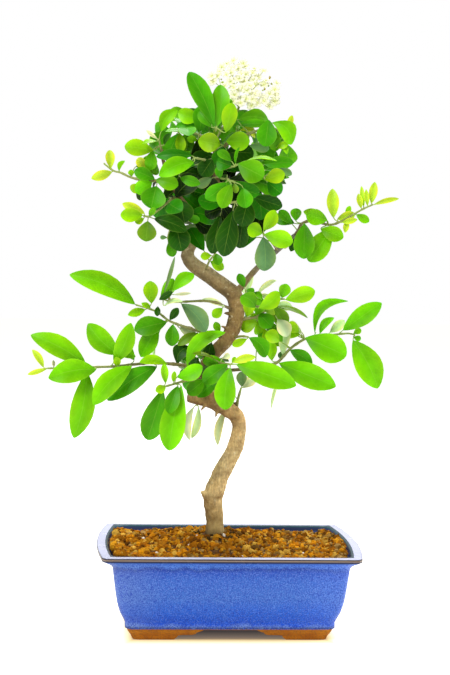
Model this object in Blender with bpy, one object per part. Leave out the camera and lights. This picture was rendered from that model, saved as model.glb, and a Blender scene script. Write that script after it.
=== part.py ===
"""Firethorn bonsai in its glazed pot, built in millimetres and written out in metres.

The pot, the soil, the drain screens and the trunk are turned, lofted or swept solids.
Each leafy stem is one grown piece: its twigs and leaves are joined by a union. The leaves
are placed one by one in the front view, and then bent clear of each other by a rule.
"""
import math
import random

import bmesh
import bpy
from mathutils import Matrix, Vector
from mathutils.bvhtree import BVHTree

MM = 0.001
GAP = 0.3

# Pot, in millimetres. Heights count from the front view's zero, which lies in the feet
RIM_LENGTH = 194.0
RIM_DEPTH = 150.0
RIM_BOW = 6.5
BODY_BOW = 1.0
POT_HEIGHT = 65.0
FOOT_HEIGHT = 7.3
FOOT_SOLE = -1.4
FOOT_INSET = 17.8
FOOT_WALL = 13.0
RIM_FACE = 3.0
LIP_WIDTH = 8.5
FLOOR_TOP = 13.5
CORNER_RADIUS = 7.0
RIM_CORNER = 3.0
CORNER_POINTS = 3
DRAIN_RADIUS = 9.0
DRAIN_SPACING = 80.0

# Soil and drain screens
SOIL_EDGE = 62.8
SOIL_CROWN = 70.0
SOIL_LUMP = 1.8
SOIL_CELL = 6.0
SCREEN_SIZE = 25.0
SCREEN_THICKNESS = 1.2
SCREEN_HOLE = 5.0

# Trunk foot
TRUNK_FOOT = (-9.8, 8.0)
STUMP_BOTTOM = 42.0
STUMP_RADIUS = 7.0
COLLAR_RADIUS = 7.9

# Leaves and twigs
BLADE = 1.1
FOLD = 0.16
ARCH = 0.09
PETIOLE = 0.6
SHORT_LEAF = 16.0
CLEARANCE = 0.45
HEAD_CENTRE = (-8.0, 356.0)
HEAD_HALF = 62.0
HEAD_BULGE = 28.0
EYE = Vector((-73.5, -1111.9, 277.8))

# Corymb
FLORETS = 30
FLORET_RADIUS = 3.7
CORYMB_CENTRE = (8.0, 426.0, -8.0)
CORYMB_HALF = (29.0, 17.0)
CORYMB_LEAN = -14.0

# The grown wood: each limb is a route of (across, up, back, radius) in the front view
LIMBS = {
    "trunk": [(-9.8, STUMP_BOTTOM, 8, STUMP_RADIUS), (-9.8, 67, 8, COLLAR_RADIUS), (-10, 78, 8, 7.3),
              (-11, 89, 7, 7.3), (-12, 98, 6, 7.8), (-10.5, 105, 6, 7.8), (-5, 120, 5, 7.0),
              (4, 137, 3, 6.5), (7.6, 152, 2, 5.8), (5.8, 164, 1, 6.0), (-3.6, 171, 0, 6.1),
              (-12.5, 175.5, 0, 6.2), (-17.5, 184, 0, 5.9), (-19, 197, 0, 5.6), (-17, 208, 0, 5.5),
              (-10, 217.5, 0, 5.5), (-2.5, 225.5, 0, 5.6), (2.6, 237, 0, 6.1), (4.6, 250, 1, 6.4),
              (1.6, 261, 2, 6.5), (-8, 268.5, 3, 6.3), (-20, 277, 3, 6.2), (-31, 284.5, 2, 5.8),
              (-35.4, 291, 1, 5.2), (-33, 299, 1, 4.8), (-28, 306, 2, 4.5), (-22, 318, 5, 4.0),
              (-17, 332, 6, 3.5), (-14, 346, 4, 3.0), (-14, 360, 0, 2.5), (-15, 374, -6, 2.0),
              (-15, 384, -10, 1.6)],
    "stub": [(-8, 173.5, 0, 5.6), (-18, 176.5, 0, 5.2), (-26, 178, -1, 4.8), (-33, 179.5, -2, 4.3)],
    "right_branch": [(2, 261, 1, 2.9), (9, 268.6, -1, 2.6), (20, 282.2, -1, 2.3), (37, 297.6, -1, 2.1),
                     (49.6, 309, 0, 1.7)],
    "left_limb": [(-23, 316, 5, 2.8), (-33, 326, 2, 2.5), (-43, 338, -2, 2.1), (-50, 350, -7, 1.8),
                  (-55, 363, -10, 1.5), (-57, 374, -14, 1.3)],
    "right_limb": [(-14.5, 344, 4, 2.4), (-3, 350, 0, 2.1), (10, 353.5, -4, 1.8), (20, 358, -6, 1.4)],
    "back_limb": [(-17, 330, 6, 2.6), (-14, 340, 22, 2.2), (-10, 352, 38, 1.5)],
}
# Short dead spurs: (across, up, back) of the foot, the same for the point, foot radius
SPURS = [((0.5, 245, -2), (-6, 246, -5), 2.4), ((-2, 233, -3), (-8, 236, -5), 1.9),
         ((4, 262, -2), (6, 269, -4), 2.4), ((-9, 171, -2), (-11, 163, -3), 1.9),
         ((-18, 174, -3), (-23, 168, -5), 1.5), ((-16, 100, 4), (-21.5, 104, 2), 2.6),
         ((1, 225, -2), (6, 221, -5), 1.6)]

# Leafy stems. Each has a twig radius, how far its end leans back (or, below 0, to the viewer),
# its twigs as routes of (across, up, back), and its leaves as
# (base across, base up, tip across, tip up, width, back, tilt, sway).
# back is the tip's depth behind the twig, tilt turns the upper face to the sky in degrees,
# and sway bends the midrib to the right of the way the leaf points.
STEMS = {
    "stem_left_long": (1.5, -14, [[(-18, 200, 1), (-35, 204, -5), (-50, 205.5, -8), (-62, 206, -10),
                              (-80, 204, -12), (-95, 202.5, -12), (-107, 202, -12),
                              (-118, 201.5, -10), (-130, 201, -8), (-144, 200.5, -6)]], [
        (-114, 204, -157, 227, 17, -8, 15, 1),
        (-106, 200, -143, 193, 18.5, -14, 5, 2),
        (-113, 198, -122.5, 145.5, 18.5, -4, 0, -2),
        (-78, 203, -108, 172, 17, -10, 5, 3),
        (-50, 205, -72, 206, 9, -10, 30, 2),
        (-88, 212, -112.7, 236, 17, 6, 0, -2),
        (-92, 206, -79, 237, 14.5, -6, 0, 2),
        (-90, 214, -75, 210.5, 7, 2, 20, 0),
        (-89, 203, -90, 210.5, 6, -6, 0, 0),
        (-147, 201, -156, 215, 5.5, 4, 0, 1),
        (-144, 200.5, -159.5, 195.5, 4, 4, 0, 0),
        (-139, 201.5, -139.5, 207, 2.5, 2, 0, 0),
        (-34, 202, -4.5, 231, 12, -12, 10, -8),
        (-42, 205, -32, 219, 13, 6, 10, -4),
        (-58, 203, -96.7, 176, 17, -10, 5, 2),
        (-76, 208, -84.5, 220.5, 7.5, 3, 0, 0)]),
    "stem_left_low": (1.4, -12, [[(-19, 194, 0), (-26, 193, -8), (-34, 192.5, -14), (-44, 189.5, -16),
                             (-54, 186.5, -16)]], [
        (-53, 185, -65, 144.5, 19, 6, 10, -1),
        (-38.5, 188, -47.5, 136.5, 20, -2, 0, 1),
        (-41, 188, -48, 166, 11.5, -10, 10, 0),
        (-51, 190, -52.5, 205.5, 6, -10, 0, 0),
        (-45, 191, -44, 199.5, 4, -6, 0, 0),
        (-51, 187, -58.5, 183.5, 7, -8, 0, 0),
        (-42, 195, -22, 203.5, 12.5, -8, 10, 2),
        (-20, 193, -33.5, 181.5, 12, -4, 0, 0)]),
    "stem_low_back": (1.1, 6, [[(-16, 181, 1), (-22, 177, 10), (-26, 173, 16)]], [
        (-28.6, 171, -31, 145, 8, 4, 20, 3),
        (-24.5, 171, -29.5, 146.5, 7, 6, 20, -3),
        (-20, 183, -30, 184, 8, 2, 10, 0)]),
    "stem_centre_whorl": (1.3, -14, [[(-17, 206, 0), (-8, 206.5, -8), (0, 205.5, -14)]], [
        (0, 203, -3.5, 169.5, 17, -4, 10, 1),
        (-1.8, 205.5, -21.4, 191, 14, 1, 10, 0),
        (-4, 207, -22, 208.5, 9.5, 4, 0, 0),
        (-9, 194, -25.5, 179.5, 11, 5, 10, 0),
        (5, 205.5, 53, 189.5, 19, -8, 5, 0),
        (2, 207, 20, 212, 7, -4, 20, 0),
        (-6, 210.5, -0.5, 213, 5, 4, 0, 0),
        (1.5, 206.5, 4, 211.5, 3.5, -4, 0, 0),
        (-12, 209, -30, 213, 8, -4, 70, 0)]),
    "stem_right_long": (1.5, 16, [[(-16, 203, 2), (-4, 201, 10), (20, 203, 4), (38, 208, -2),
                               (48, 219, -2), (59, 226.5, -2), (76, 229.5, -2), (94, 231.5, -4),
                               (99, 230.5, -4)]], [
        (39, 207, 84.5, 189, 20, -6, 0, 0),
        (59.5, 227.5, 92.5, 213.5, 23.5, -8, 5, 0),
        (89.5, 234, 120, 256, 15.5, -4, 5, 0),
        (97.7, 226, 118.5, 188, 22, -6, 0, -2),
        (67, 231, 93, 257, 8.5, 4, 10, -11),
        (71, 231, 82, 244, 7, 2, 20, -2),
        (79, 232, 90.5, 241.5, 8, 8, 0, 0),
        (98, 228.5, 104, 227, 5, 0, 0, 0),
        (98, 231.5, 104, 235, 5.5, -2, 0, 0),
        (47.5, 217.5, 65.5, 206.5, 10.5, -4, 0, -1),
        (33, 209, 32, 224.5, 9.5, -2, 0, 0),
        (42, 213, 47, 236, 8.5, 4, 0, -2),
        (45, 217, 38.5, 211.5, 6, 6, 0, 0),
        (42, 204, 32, 171, 5, 10, 60, -5)]),
    "stem_elbow": (1.6, 0, [[(5, 166, 1), (6.5, 177, 4), (9, 187, 5)],
                         [(6.2, 174.5, 3), (0, 173, 12), (-2.8, 170.5, 15)]], [
        (9.5, 188, 9, 200, 8.5, 0, 0, 0),
        (10, 187, 20, 195.5, 8, 4, 0, 0),
        (-2.8, 170, -9.6, 141, 7, 4, 20, 1)]),
    "stem_mid_left": (1.3, 26, [[(-3, 225, 0), (-14, 229, -5), (-27, 232, -8), (-43, 237, -9),
                             (-50, 240, -11), (-58, 246, -13), (-66, 249, -13), (-75, 251.5, -13)]], [
        (-76, 252, -127.5, 274.6, 18, -6, 15, 3),
        (-63, 253, -64.5, 270.5, 12, -4, 0, 0),
        (-68, 248, -81.5, 243.5, 7, -6, 0, 0),
        (-64, 250, -71, 253, 4.5, -8, 0, 0),
        (-58, 250.5, -58.5, 243, 5, -8, 0, 0),
        (-51, 238, -76, 232, 16, -8, 10, 0),
        (-58, 236, -70.7, 210.4, 14.5, 2, 0, 0),
        (-48.5, 240, -42, 249.5, 6.5, -4, 0, 0),
        (-46, 236.5, -46.5, 219.5, 11.5, -6, 0, 0),
        (-41, 234, -28, 229, 9, 4, 0, 0),
        (-26, 230, -42, 220, 8, -4, 20, 0),
        (-9, 230, -12.5, 239, 6, -2, 0, 0),
        (-54, 236, -61, 208, 4.5, 6, 50, 1)]),
    "stem_mid_left_upper": (1.1, -6, [[(1, 249, -1), (-6, 252, -8), (-12, 254.5, -12), (-22, 255.5, -15),
                                   (-40, 254.5, -17), (-48, 254.5, -18), (-54, 256.5, -19)],
                                  [(-48, 254.5, -23), (-50, 259, -24), (-49, 262.5, -24)]], [
        (-39.5, 253, -19.5, 231.5, 15, -4, 10, -2),
        (-7, 250, -14.5, 243, 8, -2, 0, 0),
        (-56, 257.5, -46, 272.5, 10, -2, 0, 1),
        (-46, 263, -30, 276.5, 10.5, -2, 10, -2),
        (-53, 262, -45.5, 290, 3.5, 4, 30, 2),
        (-57, 256, -46.5, 262.5, 5.5, -6, 0, 0),
        (-46, 260, -32, 261.5, 2.5, 4, 0, 0),
        (-5, 251, -23, 257, 5.5, -4, 40, 0),
        (-53, 251, -38.5, 254.5, 4.5, -6, 40, -2)]),
    "stem_right_low": (1.1, -10, [[(2, 227, 0), (9, 228, -8), (14, 227.5, -11)]], [
        (14.5, 227, 28.5, 212, 12, -4, 10, -3),
        (13, 226, 1.5, 220.5, 6.5, 0, 0, 0)]),
    "stem_right_mid": (1.2, 14, [[(5, 240.5, 1), (13, 242, -6), (20, 243.5, -9), (25, 247, -9),
                              (32, 251, -9)]], [
        (22, 246, 32.5, 235.5, 13.5, -6, 10, 0),
        (32, 252, 43.5, 235.5, 13, -2, 10, -1),
        (36, 252, 61, 243.5, 7, 2, 60, 0),
        (21, 240, 8, 233.5, 11, 2, 10, 0),
        (28, 241, 41, 223.5, 6, 4, 0, -2),
        (23, 241, 33, 231, 5, 2, 30, 0),
        (34, 253, 48, 251.5, 8, 4, 20, 0)]),
    "stem_right_upper": (1.1, -12, [[(5, 259, 0), (12, 260, -9), (16, 256, -13), (21, 251.5, -15),
                                (28, 253.5, -15), (36, 257.5, -14), (42, 258, -13)]], [
        (19, 251, 7.6, 260, 13, -6, 0, 2),
        (16, 262, 24.5, 257, 5, 0, 20, -2),
        (12, 265, 18, 262, 7, -2, 0, 0),
        (10, 267, 5.5, 277.5, 7, -2, 0, 0),
        (22, 250.5, 38, 263.5, 12, -6, 0, 2),
        (40, 259, 44, 270, 9.5, -2, 0, 0),
        (43, 257.5, 66.4, 265, 13, -6, 0, 0)]),
    "stem_branch_front": (1.0, -14, [[(36, 296.5, -1), (31, 303, -11), (24.5, 309.5, -18)]], [
        (24.5, 307, 26, 280, 16.5, 2, 0, -1),
        (23.5, 309.5, 12, 314.5, 12, -4, 0, 0),
        (24.5, 312, 33.5, 328, 10.5, -6, 0, 1),
        (25.5, 309, 48, 303, 14, -8, 0, 0)]),
    "stem_branch_right": (1.3, 14, [[(48, 307.5, 0), (52, 312, -2), (55, 318, -4), (64, 320.5, -6),
                                 (76, 317.5, -6), (84.5, 319.5, -6), (95, 325.5, -6),
                                 (103.5, 330.5, -6), (111, 334, -6)]], [
        (57, 318, 57, 290, 17, -6, 0, 0),
        (79, 315, 61, 288, 18, -2, 0, 0),
        (70, 314, 88, 307.5, 12.5, -10, 0, 0),
        (75, 321, 58, 325, 13, -6, 0, 0),
        (72, 324.5, 56, 327.5, 8, 2, 0, 0),
        (80, 323, 78.7, 346, 10, 0, 0, 0),
        (83, 322, 97.5, 326.5, 8, 4, 0, 0),
        (87, 319.5, 99, 322, 5, -6, 0, 0),
        (91, 321, 89.5, 311.5, 5, -4, 0, 0),
        (98, 326, 108.5, 320.5, 7, -4, 0, 0),
        (90, 325, 93, 332.5, 4.5, 4, 0, 0),
        (102, 331, 99.5, 342.5, 5, 0, 0, 0),
        (104, 332, 101.8, 348.5, 4, 4, 0, 0),
        (107, 333, 105.6, 346, 4, -4, 0, 0),
        (110, 335, 112.5, 352, 7, 0, 0, 0),
        (112, 334, 132, 339.5, 4.5, -2, 20, 0),
        (51, 309, 46.5, 296, 7, -4, 0, 0),
        (50, 320, 50, 330, 9, 4, 0, 0),
        (47, 317.5, 36.5, 328, 8, 0, 10, 0),
        (47, 304, 39.5, 299.5, 6, 6, 0, 0),
        (49, 318, 33, 323, 10.5, 8, 10, 0)]),
    "stem_crown": (1.4, -6, [[(-15, 378, -8), (-15, 386, -12), (-14.5, 392, -15)]], [
        (-16, 393, -36.6, 434.6, 15.5, -4, 10, 1),
        (-13.5, 393, -11.5, 425.5, 14, -2, 10, 2),
        (-6.5, 388.5, -2.2, 411.5, 12, -10, 0, 0),
        (-18, 392, -28, 404.5, 8.5, 4, 0, 0),
        (-14.5, 385, -14.5, 391.5, 4, -10, 0, 0),
        (-13, 396, -3, 414.5, 8.5, 6, 0, 0)]),
    "stem_crown_left": (1.2, 4, [[(-15, 374, -6), (-20, 381, 2), (-28, 386, 6), (-37, 388, 6),
                               (-43, 388.5, 6)]], [
        (-26.5, 400, -44.5, 403, 12.8, 0, 10, -2),
        (-27, 393, -46, 392.5, 8, 6, 10, 0),
        (-37, 386.5, -54, 387.8, 8, -10, 72, 0),
        (-43, 387, -41.5, 372, 8.5, -6, 0, 0),
        (-29, 382, -37, 383, 6, -4, 0, 0)]),
    "stem_crown_right": (1.3, -4, [[(-14, 368, -3), (-8, 377, -11), (2, 384, -15), (12, 388, -16),
                                (20, 391, -16), (28, 394, -15), (35, 390, -13), (40, 384, -13)]], [
        (-6, 381.5, 12.5, 382, 15, -10, 0, 0),
        (-11, 379, -29, 381.5, 15, -12, 0, 0),
        (3, 399, 27, 398, 13, 10, 20, -2),
        (3, 394.5, 25, 395.5, 7, 2, 20, 0),
        (4, 390, 16.5, 384.5, 7, 2, 30, -4),
        (27, 399, 24.5, 378, 16, -5, 0, 0),
        (30, 397, 45.7, 380.5, 14, -8, 0, -5),
        (31, 393, 33, 374.5, 10, 2, 0, 0),
        (41, 387, 45.5, 403, 5, 4, 0, 0),
        (34, 377, 42.5, 380.5, 6, -2, 20, 0),
        (39.2, 382.6, 42, 372.5, 4, -4, 0, 0),
        (12, 378.5, 28, 376.5, 8, 4, 0, 0)]),
    "stem_left_top": (1.0, 4, [[(-56.5, 371, -13), (-58, 377, -17), (-59, 381.5, -18)]], [
        (-57.5, 388, -45, 405, 10.5, -2, 10, -3),
        (-55, 377.5, -50.5, 386.5, 6.5, -2, 50, 0),
        (-63.5, 373, -86, 375.5, 13.5, -4, 10, 0),
        (-61, 380, -72, 378, 6, -10, 60, 0),
        (-60.5, 382, -69, 388.5, 3, 4, 0, 0),
        (-64, 373, -66, 357.5, 10, -4, 0, 0)]),
    "stem_left_inner": (1.2, -4, [[(-14, 362, -2), (-22, 366, -12), (-31, 368, -18)]], [
        (-33, 369.5, -61, 368.7, 9.5, 0, 20, 0),
        (-31.5, 364.5, -58.5, 353.5, 14, -8, 10, 2),
        (-17, 367, -25.5, 354, 14, -2, 0, 0),
        (-42, 352, -26, 347.5, 8, -6, 0, 0)]),
    "stem_left_shoot": (1.3, 10, [[(-51, 352, -8), (-60, 349.5, -17), (-70, 349.5, -18),
                               (-80.5, 351.5, -15), (-88.5, 355, -13), (-94.5, 356.5, -12),
                               (-102, 362, -11)]], [
        (-62, 350.5, -78, 357, 10.5, -4, 10, 0),
        (-70, 357, -75, 367, 7.5, 6, 0, 0),
        (-64, 348, -77, 340.5, 12, -6, 0, 0),
        (-80, 352.5, -81, 357.5, 5, -2, 0, 0),
        (-73, 346.5, -80, 341, 8, 8, 0, 0),
        (-95.5, 355.5, -111.5, 350, 8, -2, 0, 0),
        (-96.5, 358, -97.5, 372.5, 7.5, 0, 0, 0),
        (-90, 356, -85.5, 364.5, 4, 2, 0, -2),
        (-60.5, 345, -64.5, 327.5, 20, -8, 5, 0),
        (-61, 350, -43.5, 346, 12, -6, 10, 0)]),
    "stem_left_mid": (1.2, -6, [[(-43, 338, -2), (-51, 333, -14), (-60, 325.5, -19), (-66.5, 321, -20),
                             (-70, 321.5, -20)]], [
        (-69.5, 323.5, -87, 331, 8, -2, 0, 0),
        (-71, 322, -88.5, 322, 11, -6, 0, 0),
        (-70, 319.5, -77, 316.5, 6, -2, 0, 0),
        (-66, 322, -61.5, 328, 5, -8, 0, 0),
        (-67, 317.5, -68, 301.5, 15, -6, 0, 0),
        (-62, 319.5, -36, 310.5, 12.5, -2, 15, -1),
        (-43, 335, -38, 317, 18, 2, 10, 0)]),
    "stem_left_bottom": (1.2, 2, [[(-31, 325, 2), (-38, 323, -9), (-45, 319, -13), (-50, 309, -13),
                                (-51, 304, -12)]], [
        (-45, 316.5, -40, 294.5, 18, -4, 0, 0),
        (-50, 302, -46.5, 290, 8.5, 0, 0, 0),
        (-51.5, 305, -57, 305, 3.5, 4, 0, 0),
        (-37, 321, -26, 319, 7, -2, 0, 0)]),
    "stem_centre": (1.1, -8, [[(-4, 349.5, 0), (-5, 352, -11), (-4, 351, -19)]], [
        (-1.5, 347.5, -9.3, 329, 12, -6, 0, 1),
        (-6, 349, -21.5, 336, 12.5, -4, 0, -1),
        (-17, 352.5, -28.5, 345.5, 8, 2, 0, 0),
        (-10.5, 352.5, -12.5, 361.5, 6.5, -6, 0, 0),
        (-5.5, 351.5, -2, 346, 5, -8, 0, 0),
        (1, 348.5, 2.5, 341, 5, -2, 0, 0),
        (8, 345, 10.2, 329.5, 12.5, -2, 0, 0),
        (1.5, 350, 20, 340.5, 13, 2, 10, 2)]),
    "stem_centre_top": (1.2, -4, [[(-14, 357, 0), (-7, 360, -11), (1, 362, -18)]], [
        (3.5, 364, 24, 354, 18, -6, 0, 0),
        (1.5, 364, 4.5, 377, 5, -4, 60, 0),
        (-2, 362, -13, 366, 13, 4, 0, 0),
        (-2, 366, -13, 373.5, 8, 0, 30, 0),
        (10, 366.5, 33.9, 367.5, 7, -2, 70, 0)]),
    "stem_head_right": (1.1, -4, [[(17, 356.8, -5), (22, 357.5, -13), (24, 354, -17)]], [
        (25, 352, 40.5, 357.5, 11.5, -6, 0, 0),
        (27, 350, 38, 341.5, 12.5, -2, 0, 0),
        (24, 364, 47.5, 366, 11, 2, 10, 0),
        (36, 361, 46, 356.5, 6, 8, 0, 0)]),
    "stem_head_bottom": (1.3, 0, [[(-17, 334, 6), (-8, 333, -6), (2, 334, -11), (11, 338, -13)]], [
        (12, 336, 6.8, 315, 17, -4, 0, 0),
        (0, 327, -7, 291, 17.5, 0, 0, 0),
        (8, 320, 5.5, 297.5, 12.5, 6, 0, 0),
        (-10, 323, -16, 293, 14, 4, 0, 0),
        (16, 338, 39, 331, 12, -2, 0, 0),
        (-8, 329, -22, 323, 12, 4, 10, 0)]),
    "stem_under_trunk": (0.9, -4, [[(-21, 279, -1), (-18, 287, -9), (-15, 290.5, -11)]], [
        (-12.5, 293, -10.5, 284, 8, -4, 0, 0),
        (-16.5, 291.5, -25, 290.5, 6.5, -2, 0, 0),
        (-17, 287, -6.5, 281, 8, -2, 0, 0)]),
}
# Stems that the front view hides: twig radius, route, number of leaves, leaf length
HIDDEN_STEMS = {
    "stem_back_top": (1.3, [(-14.2, 366, -2), (-14, 378, 9), (-18, 394, 22), (-19, 399, 34)], 8, 24),
    "stem_back_left": (1.3, [(-13, 343, 25), (-26, 349, 38), (-40, 354, 50)], 8, 22),
    "stem_back_right": (1.3, [(-12, 346, 30), (4, 354, 42), (18, 360, 52)], 8, 23),
    "stem_back_middle": (1.2, [(-10, 350, 35), (-10, 362, 50), (-12, 376, 58)], 8, 22),
    "stem_back_low": (1.3, [(-20, 325, 6), (-24, 319, 24), (-29, 313, 38)], 7, 22),
    "stem_back_side": (1.2, [(10, 353.5, -4), (17, 348, 14), (25, 344, 30)], 7, 21),
    "stem_lower_back": (1.2, [(-18.5, 199, 0), (-22, 203, 20), (-27, 208, 36)], 6, 22),
    "stem_middle_back": (1.2, [(4.5, 250, 2), (11, 255, 18), (17, 258, 32)], 6, 21),
}
GOLDEN = math.radians(137.5)


# Places in the front view

def sight(across, up, back):
    """Point seen at (across, up) on the plane through the pot's centre, pushed back."""
    push = 1 - back / EYE.y
    return EYE + (Vector((across, 0, up)) - EYE) * push


def smooth_route(points, step):
    """Catmull-Rom curve through points of any dimension, cut about every step millimetres."""
    ends = [[2 * a - b for a, b in zip(points[0], points[1])],
            [2 * a - b for a, b in zip(points[-1], points[-2])]]
    padded = [ends[0]] + [list(p) for p in points] + [ends[1]]
    route = [list(points[0])]
    for p0, p1, p2, p3 in zip(padded, padded[1:], padded[2:], padded[3:]):
        span = math.dist(p1[:3], p2[:3])
        parts = max(1, round(span / step))
        for i in range(1, parts + 1):
            t = i / parts
            route.append([b + 0.5 * t * (c - a + t * (2 * a - 5 * b + 4 * c - d
                                                      + t * (3 * (b - c) + d - a)))
                          for a, b, c, d in zip(p0, p1, p2, p3)])
    return route


def twig_route(points, radius, lean=0.0, bulge=0.0, step=10.0):
    """Twig centreline in the front view, leaning out to its tip, with a radius that tapers."""
    route = []
    smooth = smooth_route(points, step)
    for i, (across, up, back) in enumerate(smooth):
        t = i / (len(smooth) - 1)
        off = math.hypot((across - HEAD_CENTRE[0]) / HEAD_HALF, (up - HEAD_CENTRE[1]) / HEAD_HALF)
        back += lean * t - bulge * max(0.0, 1 - off ** 2) * t
        route.append([across, up, back, radius + (PETIOLE + 0.1 - radius) * t])
    return route


# Leaf shape

def leaf_frame(base, tip, face):
    """Length, direction, right-hand side and upper-face normal of a leaf."""
    run = tip - base
    along = run.normalized()
    side = along.cross(face).normalized()
    return run.length, along, side, side.cross(along)


def front_face(base, tip, tilt):
    """Direction of a leaf's upper face: at the eye, turned to the sky by tilt degrees."""
    middle = (base + tip) / 2
    length, along, side, normal = leaf_frame(base, tip, EYE - middle)
    lift = side if side.z >= 0 else -side
    turn = math.radians(tilt)
    return normal * math.cos(turn) + lift * math.sin(turn)


def make_leaf(root, base, tip, width, face, sway):
    return {"root": root, "base": base, "tip": tip, "width": width, "face": face, "sway": sway}


def blade_shell(leaf, grow=0.0, stalk=False):
    """Blade as four-point sections (right edge, top, left edge, underside), with its stalk."""
    length, along, side, normal = leaf_frame(leaf["base"], leaf["tip"], leaf["face"])
    stations = [(0.0, 0.13), (0.38, 0.96), (0.76, 0.86)]
    if length < SHORT_LEAF:
        stations = [(0.0, 0.2), (0.6, 1.0)]
    rings = []
    for q, share in stations:
        bow = 4 * q * (1 - q)
        middle = leaf["base"] + along * length * q + normal * ARCH * length * bow
        middle += side * leaf["sway"] * bow
        half = max(leaf["width"] / 2 * share, 0.8) + grow
        edge = normal * FOLD * half
        thick = normal * (BLADE / 2 + grow)
        rings.append([middle + side * half + edge, middle + thick,
                      middle - side * half + edge, middle - thick])
    reach = leaf["base"] - leaf["root"]
    if stalk and reach.length > PETIOLE:
        half_turn = along.rotation_difference((along + reach.normalized()).normalized())
        rings[0] = [leaf["base"] + half_turn @ (v - leaf["base"]) for v in rings[0]]
        turn = along.rotation_difference(reach)
        rings.insert(0, [leaf["root"] + turn @ way * PETIOLE
                         for way in (side, normal, -side, -normal)])
    return ring_faces(rings, leaf["tip"] + along * grow)


def ring_faces(rings, point):
    """Triangles of a closed strip of four-point rings, split alike on both faces."""
    verts = [v for ring in rings for v in ring]
    faces = [(0, 2, 1), (0, 3, 2)]
    for i in range(len(rings) - 1):
        for k in range(4):
            a, b = 4 * i + k, 4 * i + (k + 1) % 4
            if k % 2 == 0:
                faces += [(a, b, b + 4), (a, b + 4, a + 4)]
            else:
                faces += [(a, b, a + 4), (b, b + 4, a + 4)]
    last = 4 * (len(rings) - 1)
    verts.append(point)
    faces += [(last + k, last + (k + 1) % 4, len(verts) - 1) for k in range(4)]
    return verts, faces


# Keeping clear

def tube_shell(points, radii, sides=6):
    """Plain closed tube through a route of vectors."""
    verts, faces = [], [tuple(range(sides))]
    side = (points[1] - points[0]).orthogonal()
    for i, point in enumerate(points):
        ahead = (points[min(i + 1, len(points) - 1)] - points[max(i - 1, 0)]).normalized()
        side = (side - ahead * side.dot(ahead)).normalized()
        other = ahead.cross(side)
        for k in range(sides):
            angle = math.tau * k / sides
            verts.append(point + (side * math.cos(angle) + other * math.sin(angle)) * radii[i])
    for i in range(len(points) - 1):
        for k in range(sides):
            a, b = i * sides + k, i * sides + (k + 1) % sides
            faces.append((a, b, b + sides, a + sides))
    faces.append(tuple(range(len(verts) - sides, len(verts))))
    return verts, faces


def obstacle(node, kind, shell):
    verts, faces = shell
    low = Vector([min(v[i] for v in verts) for i in range(3)])
    high = Vector([max(v[i] for v in verts) for i in range(3)])
    return {"node": node, "kind": kind, "tree": BVHTree.FromPolygons(verts, faces),
            "middle": (low + high) / 2, "reach": (high - low).length / 2}


def crosses(probe, obstacles, own_kinds):
    """True where a probe meets another node, or one of own_kinds in its own node."""
    for other in obstacles:
        if other["node"] == probe["node"] and other["kind"] not in own_kinds:
            continue
        if (other["middle"] - probe["middle"]).length > other["reach"] + probe["reach"]:
            continue
        if probe["tree"].overlap(other["tree"]):
            return True
    return False


def stalk_shell(leaf, grow=0.0):
    end = leaf["base"].lerp(leaf["tip"], 0.08)
    return tube_shell([leaf["root"], end], [PETIOLE + grow] * 2, 4)


def leaf_is_clear(node, leaf, obstacles):
    blade = obstacle(node, "blade", blade_shell(leaf, CLEARANCE))
    if crosses(blade, obstacles, ("blade",)):
        return False
    return not crosses(obstacle(node, "stalk", stalk_shell(leaf, CLEARANCE)), obstacles, ())


def keep_leaf(node, leaf, obstacles):
    obstacles.append(obstacle(node, "blade", blade_shell(leaf)))
    obstacles.append(obstacle(node, "stalk", stalk_shell(leaf)))


def front_leaf(row, twigs, shift, shrink):
    """Leaf from its front-view row, with its tip pushed back by shift."""
    base_x, base_z, tip_x, tip_z, width, back, tilt, sway = row
    start = min((p for twig in twigs for p in twig[1:]),
                key=lambda p: math.hypot(p[0] - base_x, p[1] - base_z))
    base = sight(base_x, base_z, start[2] + 0.35 * (back + shift))
    tip = sight(tip_x, tip_z, start[2] + back + shift)
    tip = base + (tip - base) * shrink
    return make_leaf(sight(*start[:3]), base, tip, width * shrink, front_face(base, tip, tilt),
                     sway * shrink)


def hidden_leaf(twig, index, count, length, rng, turn, shrink):
    """Leaf of a hidden stem, set round it by the golden angle."""
    place = 1.5 + (len(twig) - 2.5) * index / (count - 1)
    i = min(int(place), len(twig) - 2)
    low, high = sight(*twig[i][:3]), sight(*twig[i + 1][:3])
    root = low.lerp(high, place - i)
    along = (high - low).normalized()
    side = along.cross(Vector((0, 0, 1))).normalized()
    spin = Matrix.Rotation(GOLDEN * index + turn, 3, along)
    out = (spin @ side + along * 0.7 + Vector((0, 0, 0.15))).normalized()
    reach = length * rng * shrink
    base = root + out * (3.0 + 2.0 * rng)
    tip = base + out * reach
    face = (Vector((0, 0.5, 1)) - out * out.dot(Vector((0, 0.5, 1)))).normalized()
    return make_leaf(root, base, tip, reach * 0.5, face, 0.0)


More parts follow.
